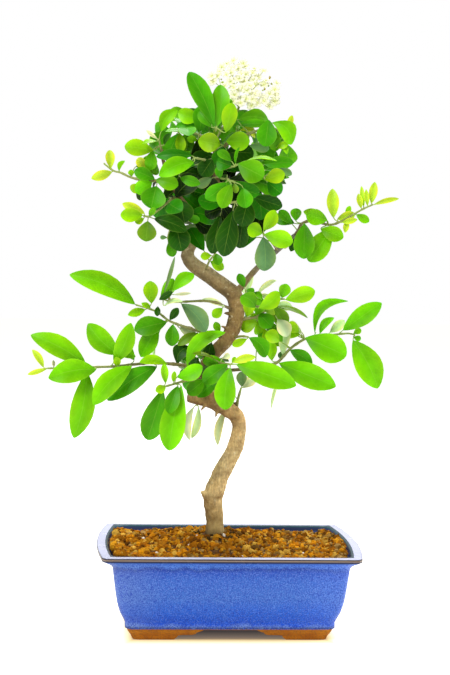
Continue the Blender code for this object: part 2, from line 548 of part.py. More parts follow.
def lay_out_foliage():
    """All stems and leaves. A leaf that would cross something is bent back or forward."""
    obstacles, stems = [], {}
    for name, limb in LIMBS.items():
        route = smooth_route(limb, 11.0)
        obstacles.append(obstacle("trunk", "stem", tube_shell([sight(*p[:3]) for p in route],
                                                              [p[3] + 0.3 for p in route])))
    for foot, point, radius in SPURS:
        obstacles.append(obstacle("trunk", "stem", tube_shell([sight(*foot), sight(*point)],
                                                              [radius + 0.3, 0.5])))
    obstacles += corymb_obstacles()
    for name, (radius, lean, routes, rows) in STEMS.items():
        stems[name] = ([twig_route(route, radius, lean, HEAD_BULGE) for route in routes], [])
    for name, (radius, route, count, length) in HIDDEN_STEMS.items():
        stems[name] = ([twig_route(route, radius)], [])
    for name, (twigs, leaves) in stems.items():
        for twig in twigs:
            shell = tube_shell([sight(*p[:3]) for p in twig], [p[3] + 0.3 for p in twig])
            obstacles.append(obstacle(name, "stem", shell))
    for name, (radius, lean, routes, rows) in STEMS.items():
        twigs, leaves = stems[name]
        for row in rows:
            choices = (front_leaf(row, twigs, shift, shrink) for shrink in (1.0, 0.92, 0.84)
                       for shift in (0, 3, -3, 6, -6, 9, -9, 12, -12, 15, -15, 19, -19, 23, 27))
            place_first_clear(name, choices, leaves, obstacles)
    for name, (radius, route, count, length) in HIDDEN_STEMS.items():
        twigs, leaves = stems[name]
        draw = random.Random(name)
        for index in range(count):
            size = draw.uniform(0.8, 1.12)
            choices = (hidden_leaf(twigs[0], index, count, length, size, math.radians(turn), shrink)
                       for shrink in (1.0, 0.85) for turn in range(0, 360, 24))
            place_first_clear(name, choices, leaves, obstacles)
    return stems


def place_first_clear(name, choices, leaves, obstacles):
    for leaf in choices:
        if leaf_is_clear(name, leaf, obstacles):
            keep_leaf(name, leaf, obstacles)
            leaves.append(leaf)
            return


# Corymb layout

def corymb_stalks():
    """Main stalk and its forks, as routes of (across, up, back)."""
    fork = (3.3, 408.6, -9)
    top = (2.0, 419.0, -8)
    return {
        "stalk": [(-14.8, 382, -9), (-9, 392, -3), (-1, 401, -4), fork, top],
        "forks": [(fork, (-11, 424, -10)), (fork, (14, 417, -11)), (top, (-2, 430, -4)),
                  (top, (10, 429, -3)), ((9, 413, -10), (25, 416, -8)), ((9, 413, -10), (17, 427, -7))],
    }


def corymb_florets():
    """Floret centres and facing directions on a leaning, shallow dome."""
    lean = math.radians(CORYMB_LEAN)
    draw = random.Random("corymb")
    florets = []
    for i in range(FLORETS):
        r = math.sqrt((i + 0.5) / FLORETS)
        x, y = r * math.cos(GOLDEN * i), r * math.sin(GOLDEN * i)
        across = CORYMB_CENTRE[0] + CORYMB_HALF[0] * x * math.cos(lean) - 5 * y * math.sin(lean)
        up = CORYMB_CENTRE[1] + CORYMB_HALF[0] * x * math.sin(lean) + CORYMB_HALF[1] * y
        back = CORYMB_CENTRE[2] + 13 * y + 5 * r * r + draw.uniform(-2, 2)
        centre = sight(across, up, back)
        facing = Vector((0.8 * x, -0.75 + 0.5 * y, 0.65 + 0.5 * y)).normalized()
        florets.append((centre, facing))
    return florets


def corymb_obstacles():
    stalks = corymb_stalks()
    found = []
    route = [sight(*p) for p in smooth_route(stalks["stalk"], 6.0)]
    found.append(obstacle("flower_corymb", "stem", tube_shell(route, [1.2] * len(route))))
    for start, end in stalks["forks"]:
        found.append(obstacle("flower_corymb", "stem", tube_shell([sight(*start), sight(*end)],
                                                                  [1.0, 1.0])))
    for centre, facing in corymb_florets():
        found.append(obstacle("flower_corymb", "blade", tube_shell([centre - facing * 1.2,
                                                                    centre + facing * 1.2],
                                                                   [FLORET_RADIUS + 0.2] * 2)))
    return found


# Blender helpers

def material(name, colour, roughness):
    made = bpy.data.materials.new(name)
    made.use_nodes = True
    shader = made.node_tree.nodes["Principled BSDF"]
    shader.inputs["Base Color"].default_value = colour + (1.0,)
    shader.inputs["Roughness"].default_value = roughness
    made.diffuse_color = colour + (1.0,)
    return made


def add_object(name, mesh, collection):
    made = bpy.data.objects.new(name, mesh)
    collection.objects.link(made)
    return made


def mesh_object(name, verts, faces, collection):
    """Closed mesh from millimetre points, with its faces turned outwards."""
    mesh = bpy.data.meshes.new(name)
    mesh.from_pydata([Vector(v) * MM for v in verts], [], faces)
    shape = bmesh.new()
    shape.from_mesh(mesh)
    bmesh.ops.recalc_face_normals(shape, faces=shape.faces)
    shape.to_mesh(mesh)
    shape.free()
    return add_object(name, mesh, collection)


def tube(name, route, radii, collection, resolution=0):
    """Tube along a route of millimetre vectors: a poly curve with a bevel and filled caps."""
    curve = bpy.data.curves.new(name, "CURVE")
    curve.dimensions = "3D"
    curve.bevel_depth = MM
    curve.bevel_resolution = resolution
    curve.use_fill_caps = True
    spline = curve.splines.new("POLY")
    spline.points.add(len(route) - 1)
    for point, place, radius in zip(spline.points, route, radii):
        point.co = (*(place * MM), 1.0)
        point.radius = radius
    guide = add_object(name + "_curve", curve, collection)
    bpy.context.view_layer.update()
    evaluated = guide.evaluated_get(bpy.context.evaluated_depsgraph_get())
    mesh = bpy.data.meshes.new_from_object(evaluated)
    bpy.data.objects.remove(guide)
    shape = bmesh.new()
    shape.from_mesh(mesh)
    bmesh.ops.remove_doubles(shape, verts=shape.verts, dist=0.00001)
    shape.to_mesh(mesh)
    shape.free()
    return add_object(name, mesh, collection)


def apply_boolean(target, operation, operand=None, solver="EXACT", collection=None):
    modifier = target.modifiers.new("Join", "BOOLEAN")
    modifier.operation = operation
    modifier.solver = solver
    if collection is not None:
        modifier.operand_type = "COLLECTION"
        modifier.collection = collection
    else:
        modifier.object = operand
    bpy.context.view_layer.objects.active = target
    bpy.ops.object.modifier_apply(modifier=modifier.name)


def is_closed(mesh):
    """True where every edge lies between two faces."""
    shape = bmesh.new()
    shape.from_mesh(mesh)
    closed = all(len(edge.link_faces) == 2 for edge in shape.edges)
    shape.free()
    return closed


def unite(target, pieces):
    """Union of a node's repeats, which are then removed."""
    group = bpy.data.collections.new("Pieces")
    bpy.context.scene.collection.children.link(group)
    for piece in pieces:
        move_to(piece, group)
    before = target.data.copy()
    apply_boolean(target, "UNION", collection=group)
    if not is_closed(target.data):
        target.data = before
        apply_boolean(target, "UNION", solver="MANIFOLD", collection=group)
    for piece in list(group.objects):
        bpy.data.objects.remove(piece)
    bpy.data.collections.remove(group)


def drop_scraps(target):
    """Keep only the largest body of a joined mesh, counting as one what shares an edge."""
    shape = bmesh.new()
    shape.from_mesh(target.data)
    unseen = set(shape.faces)
    bodies = []
    while unseen:
        body, front = [], [unseen.pop()]
        while front:
            face = front.pop()
            body.append(face)
            for other in {link for edge in face.edges for link in edge.link_faces} & unseen:
                unseen.discard(other)
                front.append(other)
        bodies.append(body)
    bodies.sort(key=len)
    loose = [face for body in bodies[:-1] for face in body]
    bmesh.ops.delete(shape, geom=loose, context="FACES")
    shape.to_mesh(target.data)
    shape.free()
    if loose:
        print(target.name, "dropped", [len(body) for body in bodies[:-1]])


def cut_away(target, cutter):
    """Difference of two closed meshes, without the scraps that it leaves."""
    before = target.data.copy()
    apply_boolean(target, "DIFFERENCE", cutter)
    if not is_closed(target.data):
        target.data = before
        apply_boolean(target, "DIFFERENCE", cutter, "MANIFOLD")
    drop_scraps(target)


def move_to(item, collection):
    for holder in list(item.users_collection):
        holder.objects.unlink(item)
    collection.objects.link(item)


# Pot

def pot_ring(inset, z, bow):
    """Rounded rectangle at height z, inset from the rim, with bowed short ends."""
    half_x = RIM_LENGTH / 2 - inset
    half_y = RIM_DEPTH / 2 - inset
    radius = RIM_CORNER + (CORNER_RADIUS - RIM_CORNER) * min(1.0, inset / 7)

    def end_x(y):
        return half_x + bow * (1 - (y / half_y) ** 2)

    quarter = []
    flat = half_y - radius
    for i in range(CORNER_POINTS):
        angle = math.radians(90 * (1 - i / (CORNER_POINTS - 1)))
        quarter.append((end_x(flat) - radius + radius * math.cos(angle),
                        flat + radius * math.sin(angle)))
    quarter += [(end_x(flat / 2), flat / 2), (end_x(0), 0.0)]
    right = quarter + [(x, -y) for x, y in reversed(quarter[:-1])]
    outline = right + [(-x, y) for x, y in reversed(right)]
    return [Vector((x, y, z)) for x, y in outline]


def loft(name, rings, collection):
    """Closed solid through rings of as many points each, with its sides in triangles."""
    count = len(rings[0])
    verts = [v for ring in rings for v in ring]
    faces = [tuple(range(count))]
    faces.append(tuple(range(len(verts) - count, len(verts))))
    for i in range(len(rings) - 1):
        for k in range(count):
            a, b = i * count + k, i * count + (k + 1) % count
            faces += [(a, b, b + count), (a, b + count, a + count)]
    return mesh_object(name, verts, faces, collection)


def outer_profile():
    """(inset, height, bow) of the pot's outside, from its underside up to the rim's face."""
    face = POT_HEIGHT - RIM_FACE
    return [(FOOT_INSET, FOOT_HEIGHT, BODY_BOW), (FOOT_INSET - 0.6, 12.5, BODY_BOW),
            (FOOT_INSET - 2.0, 15.5, BODY_BOW), (13.5, 20.0, BODY_BOW), (11.0, 28.0, BODY_BOW),
            (9.0, 42.0, BODY_BOW), (7.0, 55.5, BODY_BOW), (5.0, 58.5, 0.5 * RIM_BOW),
            (0.6, face, RIM_BOW), (0.0, face + 0.6, RIM_BOW), (0.0, POT_HEIGHT - 0.6, RIM_BOW),
            (0.7, POT_HEIGHT, RIM_BOW)]


def inner_profile():
    """(inset, height, bow) of the inside, from the rim's inner edge down to the floor."""
    return [(LIP_WIDTH, POT_HEIGHT, RIM_BOW), (LIP_WIDTH + 2.0, POT_HEIGHT - 3.0, RIM_BOW),
            (12.8, 54.5, BODY_BOW), (15.4, 38.0, BODY_BOW), (19.5, 20.0, BODY_BOW),
            (23.0, FLOOR_TOP, BODY_BOW)]


def build_foot(sx, sy, parts):
    """Corner foot: two walls that lean in to the ground and end in cloud steps."""
    steps = [(FOOT_SOLE, 4.6, 36.5, 21.0), (0.4, 4.0, 38.4, 22.2), (2.4, 3.0, 40.0, 23.4),
             (2.7, 2.8, 50.5, 29.0), (4.9, 1.5, 54.0, 31.0), (FOOT_HEIGHT, 0.4, 58.8, 34.0),
             (FOOT_HEIGHT + 1.5, 0.4, 58.8, 34.0)]
    corner_x = RIM_LENGTH / 2 - FOOT_INSET
    corner_y = RIM_DEPTH / 2 - FOOT_INSET
    rings = []
    for z, inset, long_arm, short_arm in steps:
        x, y = corner_x - inset, corner_y - inset
        inner_x, inner_y = corner_x - FOOT_WALL, corner_y - FOOT_WALL
        outline = [(x - 3.5, y), (x, y - 3.5), (x, corner_y - short_arm),
                   (inner_x, corner_y - short_arm), (inner_x, inner_y),
                   (corner_x - long_arm, inner_y), (corner_x - long_arm, y)]
        rings.append([Vector((sx * px, sy * py, z)) for px, py in outline])
    return loft("foot", rings, parts)


def build_pot(parts, cutters):
    pot = loft("pot", [pot_ring(inset, z, bow) for inset, z, bow in outer_profile()], parts)
    hollow_rings = [pot_ring(inset, z, bow) for inset, z, bow in inner_profile()]
    hollow_rings.insert(0, [v + Vector((0, 0, 6)) for v in hollow_rings[0]])
    cut_away(pot, loft("pot_hollow", hollow_rings, cutters))
    for side in (-1, 1):
        bpy.ops.mesh.primitive_cylinder_add(vertices=16, radius=DRAIN_RADIUS * MM, depth=20 * MM,
                                            location=(side * DRAIN_SPACING / 2 * MM, 0, 0.010))
        hole = bpy.context.object
        hole.name = "drain_hole"
        move_to(hole, cutters)
        cut_away(pot, hole)
    unite(pot, [build_foot(sx, sy, parts) for sx in (-1, 1) for sy in (-1, 1)])
    return pot


# Soil and drain screens

def build_screen(name, x, parts):
    """Square of plastic mesh that keeps the soil off a drain hole."""
    bpy.ops.mesh.primitive_cube_add(size=MM, location=(x * MM, 0, (FLOOR_TOP + GAP
                                                                   + SCREEN_THICKNESS / 2) * MM))
    screen = bpy.context.object
    screen.name = name
    screen.scale = (SCREEN_SIZE, SCREEN_SIZE, SCREEN_THICKNESS)
    bpy.ops.object.transform_apply(location=True, scale=True)
    move_to(screen, parts)
    holes = []
    pitch = SCREEN_SIZE / 3
    for i in (-1, 0, 1):
        for j in (-1, 0, 1):
            bpy.ops.mesh.primitive_cube_add(size=MM, location=((x + i * pitch) * MM, j * pitch * MM,
                                                               FLOOR_TOP * MM))
            hole = bpy.context.object
            hole.scale = (SCREEN_HOLE, SCREEN_HOLE, 8)
            bpy.ops.object.transform_apply(location=True, scale=True)
            holes.append(hole)
    group = bpy.data.collections.new("Holes")
    bpy.context.scene.collection.children.link(group)
    for hole in holes:
        move_to(hole, group)
    apply_boolean(screen, "DIFFERENCE", collection=group)
    for hole in holes:
        bpy.data.objects.remove(hole)
    bpy.data.collections.remove(group)
    return screen


def soil_height(x, y):
    """Mound that falls from the trunk to the pot's wall."""
    far = min(1.0, math.hypot((x - TRUNK_FOOT[0]) / 88, (y - TRUNK_FOOT[1]) / 62))
    return SOIL_CROWN - (SOIL_CROWN - SOIL_EDGE) * far ** 1.6


def build_soil(parts, cutters):
    """Granular fill: a lumpy slab cut to the pot's inside, with a plain hole for the trunk."""
    draw = random.Random("soil")
    slab = bmesh.new()
    columns, rows = round(196 / SOIL_CELL), round(152 / SOIL_CELL)
    bmesh.ops.create_grid(slab, x_segments=columns, y_segments=rows, size=0.5)
    for vert in slab.verts:
        x, y = vert.co.x * columns * SOIL_CELL, vert.co.y * rows * SOIL_CELL
        x += draw.uniform(-0.3, 0.3) * SOIL_CELL
        y += draw.uniform(-0.3, 0.3) * SOIL_CELL
        vert.co = Vector((x, y, soil_height(x, y) + draw.uniform(-SOIL_LUMP, SOIL_LUMP))) * MM
    bmesh.ops.triangulate(slab, faces=slab.faces)
    skirt = bmesh.ops.extrude_face_region(slab, geom=slab.faces[:])
    for vert in [g for g in skirt["geom"] if isinstance(g, bmesh.types.BMVert)]:
        vert.co.z = (FLOOR_TOP - 5) * MM
    bmesh.ops.recalc_face_normals(slab, faces=slab.faces)
    mesh = bpy.data.meshes.new("soil_slab")
    slab.to_mesh(mesh)
    slab.free()
    top = add_object("soil_slab", mesh, parts)
    rings = [pot_ring(inset + GAP, z, bow) for inset, z, bow in inner_profile()]
    rings[0] = [v + Vector((0, 0, 20)) for v in rings[0]]
    rings[-1] = [v + Vector((0, 0, GAP)) for v in rings[-1]]
    soil = loft("soil", rings, parts)
    apply_boolean(soil, "INTERSECT", top, "MANIFOLD")
    bpy.data.objects.remove(top)
    for side in (-1, 1):
        bpy.ops.mesh.primitive_cube_add(size=MM, location=(side * DRAIN_SPACING / 2 * MM, 0,
                                                           (FLOOR_TOP + SCREEN_THICKNESS / 2) * MM))
        pocket = bpy.context.object
        pocket.name = "screen_pocket"
        pocket.scale = (SCREEN_SIZE + 2 * GAP, SCREEN_SIZE + 2 * GAP, SCREEN_THICKNESS + 4 * GAP)
        bpy.ops.object.transform_apply(location=True, scale=True)
        move_to(pocket, cutters)
        apply_boolean(soil, "DIFFERENCE", pocket, "MANIFOLD")
    spread = (COLLAR_RADIUS - STUMP_RADIUS) / (67 - STUMP_BOTTOM)
    depth = 40.0
    middle = sight(TRUNK_FOOT[0], STUMP_BOTTOM, TRUNK_FOOT[1])
    bottom = middle.z - GAP
    bpy.ops.mesh.primitive_cone_add(vertices=20, radius1=(STUMP_RADIUS + 2 * GAP) * MM,
                                    radius2=(STUMP_RADIUS + 2 * GAP + spread * depth) * MM,
                                    depth=depth * MM,
                                    location=(middle.x * MM, middle.y * MM,
                                              (bottom + depth / 2) * MM))
    hole = bpy.context.object
    hole.name = "trunk_hole"
    move_to(hole, cutters)
    apply_boolean(soil, "DIFFERENCE", hole, "MANIFOLD")
    drop_scraps(soil)
    return soil


# Trunk

def build_trunk(parts, cutters):
    """Grown wood: swept limbs with uneven bark, dead spurs, and the root stump."""
    draw = random.Random("bark")
    pieces = []
    for name, limb in LIMBS.items():
        route = smooth_route(limb, 11.0)
        radii = [p[3] * draw.uniform(0.95, 1.06) if p[1] > 80 else p[3] for p in route]
        pieces.append(tube(name, [sight(*p[:3]) for p in route], radii, parts,
                           2 if name in ("trunk", "stub") else 1))
    for foot, point, radius in SPURS:
        pieces.append(tube("spur", [sight(*foot), sight(*point)], [radius, 0.5], parts))
    trunk = pieces[0]
    unite(trunk, pieces[1:])
    drop_scraps(trunk)
    cutter = add_object("trunk_clearance", trunk.data.copy(), cutters)
    swell = bmesh.new()
    swell.from_mesh(cutter.data)
    swell.normal_update()
    for vert in swell.verts:
        vert.co += vert.normal * 1.2 * GAP * MM
    swell.to_mesh(cutter.data)
    swell.free()
    return trunk, cutter


# Leafy stems and corymb

def build_stem(name, twigs, leaves, cutter, parts):
    """One grown stem: its twigs and its leaves in one body, cut clear of the trunk."""
    pieces = [tube(name, [sight(*p[:3]) for p in twig], [p[3] for p in twig], parts)
              for twig in twigs]
    for leaf in leaves:
        pieces.append(mesh_object("leaf", *blade_shell(leaf, stalk=True), parts))
    stem = pieces[0]
    unite(stem, pieces[1:])
    cut_away(stem, cutter)
    stem.name = name
    return stem


def build_floret(centre, facing, index, parts):
    """Five-petalled cup with a thin rim, on its own axis."""
    side = facing.orthogonal().normalized()
    other = facing.cross(side)
    verts = [centre - facing * 1.3, centre + facing * 0.2]
    for k in range(10):
        angle = math.tau * k / 10 + index
        reach = FLORET_RADIUS if k % 2 == 0 else 0.6 * FLORET_RADIUS
        spot = centre + (side * math.cos(angle) + other * math.sin(angle)) * reach
        verts.append(spot + facing * (1.1 if k % 2 == 0 else 0.3))
    faces = []
    for k in range(10):
        a, b = 2 + k, 2 + (k + 1) % 10
        faces += [(0, b, a), (1, a, b)]
    return mesh_object("floret", verts, faces, parts)


def build_corymb(cutter, parts):
    """Flower head: forked stalk, a pedicel for each floret, and the florets."""
    stalks = corymb_stalks()
    route = [sight(*p) for p in smooth_route(stalks["stalk"], 7.0)]
    corymb = tube("flower_corymb", route, [1.0] * len(route), parts)
    pieces = []
    nodes = [sight(*stalks["stalk"][-1])]
    for start, end in stalks["forks"]:
        pieces.append(tube("fork", [sight(*start), sight(*end)], [0.8, 0.6], parts))
        nodes += [sight(*end), sight(*start).lerp(sight(*end), 0.6)]
    for index, (centre, facing) in enumerate(corymb_florets()):
        near = min(nodes, key=lambda node: (node - centre).length)
        pedicel = tube_shell([near, centre - facing * 0.4], [0.5, 0.45], 3)
        pieces.append(mesh_object("pedicel", *pedicel, parts))
        pieces.append(build_floret(centre, facing, index, parts))
    unite(corymb, pieces)
    cut_away(corymb, cutter)
    return corymb


# Whole object

def stand_on_origin(items):
    """Moves every mesh so that the middle of the whole object's base is the origin."""
    points = [v.co for item in items for v in item.data.vertices]
    low = [min(p[i] for p in points) for i in range(3)]
    high = [max(p[i] for p in points) for i in range(3)]
    shift = Vector((-(low[0] + high[0]) / 2, -(low[1] + high[1]) / 2, -low[2]))
    for item in items:
        item.data.transform(Matrix.Translation(shift))


def paint(item, look, smooth=False):
    item.data.materials.clear()
    item.data.materials.append(look)
    if smooth:
        item.data.shade_smooth()
        item.data.set_sharp_from_angle(angle=math.radians(35))


def build():
    for item in list(bpy.data.objects):
        bpy.data.objects.remove(item)
    parts = bpy.data.collections.new("Firethorn bonsai")
    cutters = bpy.data.collections.new("Cutters")
    for collection in (parts, cutters):
        bpy.context.scene.collection.children.link(collection)

    glaze = material("blue_glaze", (0.10, 0.22, 0.72), 0.22)
    earth = material("baked_clay_granules", (0.48, 0.24, 0.06), 0.95)
    plastic = material("black_plastic", (0.03, 0.03, 0.03), 0.6)
    bark = material("bark", (0.33, 0.22, 0.13), 0.85)
    green = material("leaf_green", (0.10, 0.42, 0.02), 0.4)
    cream = material("cream_petal", (0.90, 0.87, 0.70), 0.7)

    pot = build_pot(parts, cutters)
    paint(pot, glaze, smooth=True)
    screens = [build_screen("drain_screen_left", -DRAIN_SPACING / 2, parts),
               build_screen("drain_screen_right", DRAIN_SPACING / 2, parts)]
    for screen in screens:
        paint(screen, plastic)
    soil = build_soil(parts, cutters)
    paint(soil, earth)
    trunk, cutter = build_trunk(parts, cutters)
    paint(trunk, bark, smooth=True)
    corymb = build_corymb(cutter, parts)
    paint(corymb, cream)
    stems = []
    for name, (twigs, leaves) in lay_out_foliage().items():
        stems.append(build_stem(name, twigs, leaves, cutter, parts))
        paint(stems[-1], green)
        print(name, len(leaves), "leaves")
    stand_on_origin([pot, soil, trunk, corymb] + screens + stems)
    for item in cutters.objects:
        item.hide_render = True
        item.display_type = "WIRE"


build()
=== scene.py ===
# %% [markdown]
# Firethorn bonsai in its glazed pot
#
# The plant is rebuilt here over a fixed frame, which holds its plain solids at their real
# size. This script gives every solid its finish: the pot gets its glaze and soft edges, the
# soil its grains, the trunk its bark, and each leafy stem its thin, folded, veined leaves.
# Lengths in the layout tables are millimetres, because a bonsai is measured in them, and
# `place` turns them into metres.

import math
import random

import bpy
from mathutils import Euler, Matrix, Vector, noise
from mathutils.bvhtree import BVHTree


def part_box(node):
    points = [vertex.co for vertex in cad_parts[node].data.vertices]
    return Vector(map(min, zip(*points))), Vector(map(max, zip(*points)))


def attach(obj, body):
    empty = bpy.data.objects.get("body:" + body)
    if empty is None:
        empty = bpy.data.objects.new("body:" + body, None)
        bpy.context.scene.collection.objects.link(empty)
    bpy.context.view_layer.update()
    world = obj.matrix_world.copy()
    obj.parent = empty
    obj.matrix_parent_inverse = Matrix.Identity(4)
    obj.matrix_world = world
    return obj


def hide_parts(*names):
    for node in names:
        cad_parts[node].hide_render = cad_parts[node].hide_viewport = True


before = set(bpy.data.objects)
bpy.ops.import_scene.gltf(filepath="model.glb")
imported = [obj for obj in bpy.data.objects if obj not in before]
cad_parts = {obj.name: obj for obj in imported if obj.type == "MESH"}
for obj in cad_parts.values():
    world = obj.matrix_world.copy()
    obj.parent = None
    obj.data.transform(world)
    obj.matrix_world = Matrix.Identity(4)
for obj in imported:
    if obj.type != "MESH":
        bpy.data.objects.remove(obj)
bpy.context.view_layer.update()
MM = 0.001
FOOT_SOLE = -1.4
pot_low, pot_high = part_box("pot")
POT_CENTRE = (pot_low + pot_high) / 2
POT_CENTRE.z = -FOOT_SOLE * MM
print("frame nodes:", len(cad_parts), "pot centre at", [round(c, 4) for c in POT_CENTRE])

# %% [markdown]
# Small helpers
#
# An operator works on whatever is selected, so every step starts by deselecting all, and
# these helpers do that once for all steps. The same lines could be typed before each
# operator, but one forgotten line would then bend the wrong object.

# %% Select, edit and modify

def place(point):
    """Frame position in metres of a millimetre point."""
    return Vector(point) * MM + POT_CENTRE


def only(item):
    """Select one object and make it active."""
    bpy.ops.object.select_all(action="DESELECT")
    item.select_set(True)
    bpy.context.view_layer.objects.active = item
    return item


def start_from(primitive, **settings):
    bpy.ops.object.select_all(action="DESELECT")
    primitive(**settings)
    return only(bpy.context.object)


def edit_all(item, operator, **settings):
    """Run an edit-mode operator on the whole mesh of an object."""
    only(item)
    bpy.ops.object.mode_set(mode="EDIT")
    bpy.ops.mesh.select_all(action="SELECT")
    operator(**settings)
    bpy.ops.object.mode_set(mode="OBJECT")
    return item


def modify(item, kind, **settings):
    """Add a modifier with its settings and apply it."""
    only(item)
    modifier = item.modifiers.new("Shape", kind)
    for key, value in settings.items():
        setattr(modifier, key, value)
    bpy.ops.object.modifier_apply(modifier=modifier.name)


print("ready to model with", bpy.app.version_string)

# %% New objects, colours and finishes

def link(item):
    """Put an object into the scene."""
    bpy.context.scene.collection.objects.link(item)
    return item


def new_object(name, verts, faces):
    """New object in the scene from points in metres."""
    mesh = bpy.data.meshes.new(name)
    mesh.from_pydata(verts, [], faces)
    return link(bpy.data.objects.new(name, mesh))


def copy_of(item):
    """Copy of an object, with a mesh of its own."""
    made = item.copy()
    made.data = item.data.copy()
    return link(made)


def face_outwards(item):
    return edit_all(item, bpy.ops.mesh.normals_make_consistent, inside=False)


def mesh_from(name, verts, faces):
    """New object from millimetre points, with its faces turned outwards."""
    return face_outwards(new_object(name, [place(v) for v in verts], faces))


def join(items, name):
    only(items[0])
    for item in items:
        item.select_set(True)
    if len(items) > 1:
        bpy.ops.object.join()
    items[0].name = name
    items[0].data.name = name
    return items[0]


def paint(item, layer_name, colours):
    """Colour of every vertex, in an attribute that a material reads."""
    layer = item.data.color_attributes.new(layer_name, "FLOAT_COLOR", "POINT")
    layer.data.foreach_set("color", [part for colour in colours for part in colour])


def dress(item, *looks):
    item.data.materials.clear()
    for look in looks:
        item.data.materials.append(look)


def smooth(item, degrees):
    """Shade smoothly, but keep every edge that is sharper than an angle."""
    only(item)
    bpy.ops.object.shade_smooth_by_angle(angle=math.radians(degrees))


def seat(item, slot, *nodes):
    """Finished piece: it rides on the plant's one body and stands for the frame's nodes."""
    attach(item, "root")
    if nodes:
        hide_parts(*nodes)
    print(item.name, len(item.data.polygons), "faces")
    return item


# %% [markdown]
# Where everything grows
#
# The plant was measured as it is seen from the front: a point is (across, up) on the plane
# through the pot's centre, and a third number pushes it back along the line of sight. Plain
# (x, y, z) points would do too, but then a twig that leans towards the viewer would leave
# its place in the front view. With sight lines it keeps its place, however far it leans.

# %% Sizes of the plant
EYE = Vector((-73.5, -1111.9, 277.8))
GOLDEN = math.radians(137.5)
# Blades: thickness kept free, fold over the half width, arch over the length, stalk radius,
# length under which a blade has only two sections, and the air left round each leaf
BLADE = 1.1
FOLD = 0.16
ARCH = 0.09
PETIOLE = 0.6
SHORT_LEAF = 16.0
CLEARANCE = 0.45
# The head: its middle in the front view, its half width, and how far it bulges to the viewer
HEAD_CENTRE = (-8.0, 356.0)
HEAD_HALF = 62.0
HEAD_BULGE = 28.0
# The flower head: florets, their radius, the dome's centre, half sizes and lean in degrees
FLORETS = 30
FLORET_RADIUS = 3.7
CORYMB_CENTRE = (8.0, 426.0, -8.0)
CORYMB_HALF = (29.0, 17.0)
CORYMB_LEAN = -14.0
# The foot of the trunk in the soil
STUMP_BOTTOM = 42.0
STUMP_RADIUS = 7.0
COLLAR_RADIUS = 7.9
print("eye to pot:", round(-EYE.y), "mm; head", round(2 * HEAD_HALF), "mm wide")

# %% [markdown]
# The grown wood
#
# Each limb is a route of (across, up, back, radius). A route through a few well-chosen
# points bends as smoothly as wired wood does, and its radius is easy to read off the trunk.

# %% Limbs and spurs
LIMBS = {
    "trunk": [(-9.8, STUMP_BOTTOM, 8, STUMP_RADIUS), (-9.8, 67, 8, COLLAR_RADIUS), (-10, 78, 8, 7.3),
              (-11, 89, 7, 7.3), (-12, 98, 6, 7.8), (-10.5, 105, 6, 7.8), (-5, 120, 5, 7.0),
              (4, 137, 3, 6.5), (7.6, 152, 2, 5.8), (5.8, 164, 1, 6.0), (-3.6, 171, 0, 6.1),
              (-12.5, 175.5, 0, 6.2), (-17.5, 184, 0, 5.9), (-19, 197, 0, 5.6), (-17, 208, 0, 5.5),
              (-10, 217.5, 0, 5.5), (-2.5, 225.5, 0, 5.6), (2.6, 237, 0, 6.1), (4.6, 250, 1, 6.4),
              (1.6, 261, 2, 6.5), (-8, 268.5, 3, 6.3), (-20, 277, 3, 6.2), (-31, 284.5, 2, 5.8),
              (-35.4, 291, 1, 5.2), (-33, 299, 1, 4.8), (-28, 306, 2, 4.5), (-22, 318, 5, 4.0),
              (-17, 332, 6, 3.5), (-14, 346, 4, 3.0), (-14, 360, 0, 2.5), (-15, 374, -6, 2.0),
              (-15, 384, -10, 1.6)],
    "stub": [(-8, 173.5, 0, 5.6), (-18, 176.5, 0, 5.2), (-26, 178, -1, 4.8), (-33, 179.5, -2, 4.3)],
    "right_branch": [(2, 261, 1, 2.9), (9, 268.6, -1, 2.6), (20, 282.2, -1, 2.3), (37, 297.6, -1, 2.1),
                     (49.6, 309, 0, 1.7)],
    "left_limb": [(-23, 316, 5, 2.8), (-33, 326, 2, 2.5), (-43, 338, -2, 2.1), (-50, 350, -7, 1.8),
                  (-55, 363, -10, 1.5), (-57, 374, -14, 1.3)],
    "right_limb": [(-14.5, 344, 4, 2.4), (-3, 350, 0, 2.1), (10, 353.5, -4, 1.8), (20, 358, -6, 1.4)],
    "back_limb": [(-17, 330, 6, 2.6), (-14, 340, 22, 2.2), (-10, 352, 38, 1.5)],
}
# Short dead spurs: (across, up, back) of the foot, the same for the point, foot radius
SPURS = [
    ((0.5, 245, -2), (-6, 246, -5), 2.4), ((-2, 233, -3), (-8, 236, -5), 1.9),
    ((4, 262, -2), (6, 269, -4), 2.4), ((-9, 171, -2), (-11, 163, -3), 1.9),
    ((-18, 174, -3), (-23, 168, -5), 1.5), ((-16, 100, 4), (-21.5, 104, 2), 2.6),
    ((1, 225, -2), (6, 221, -5), 1.6)]
print("limbs:", len(LIMBS), "spurs:", len(SPURS))
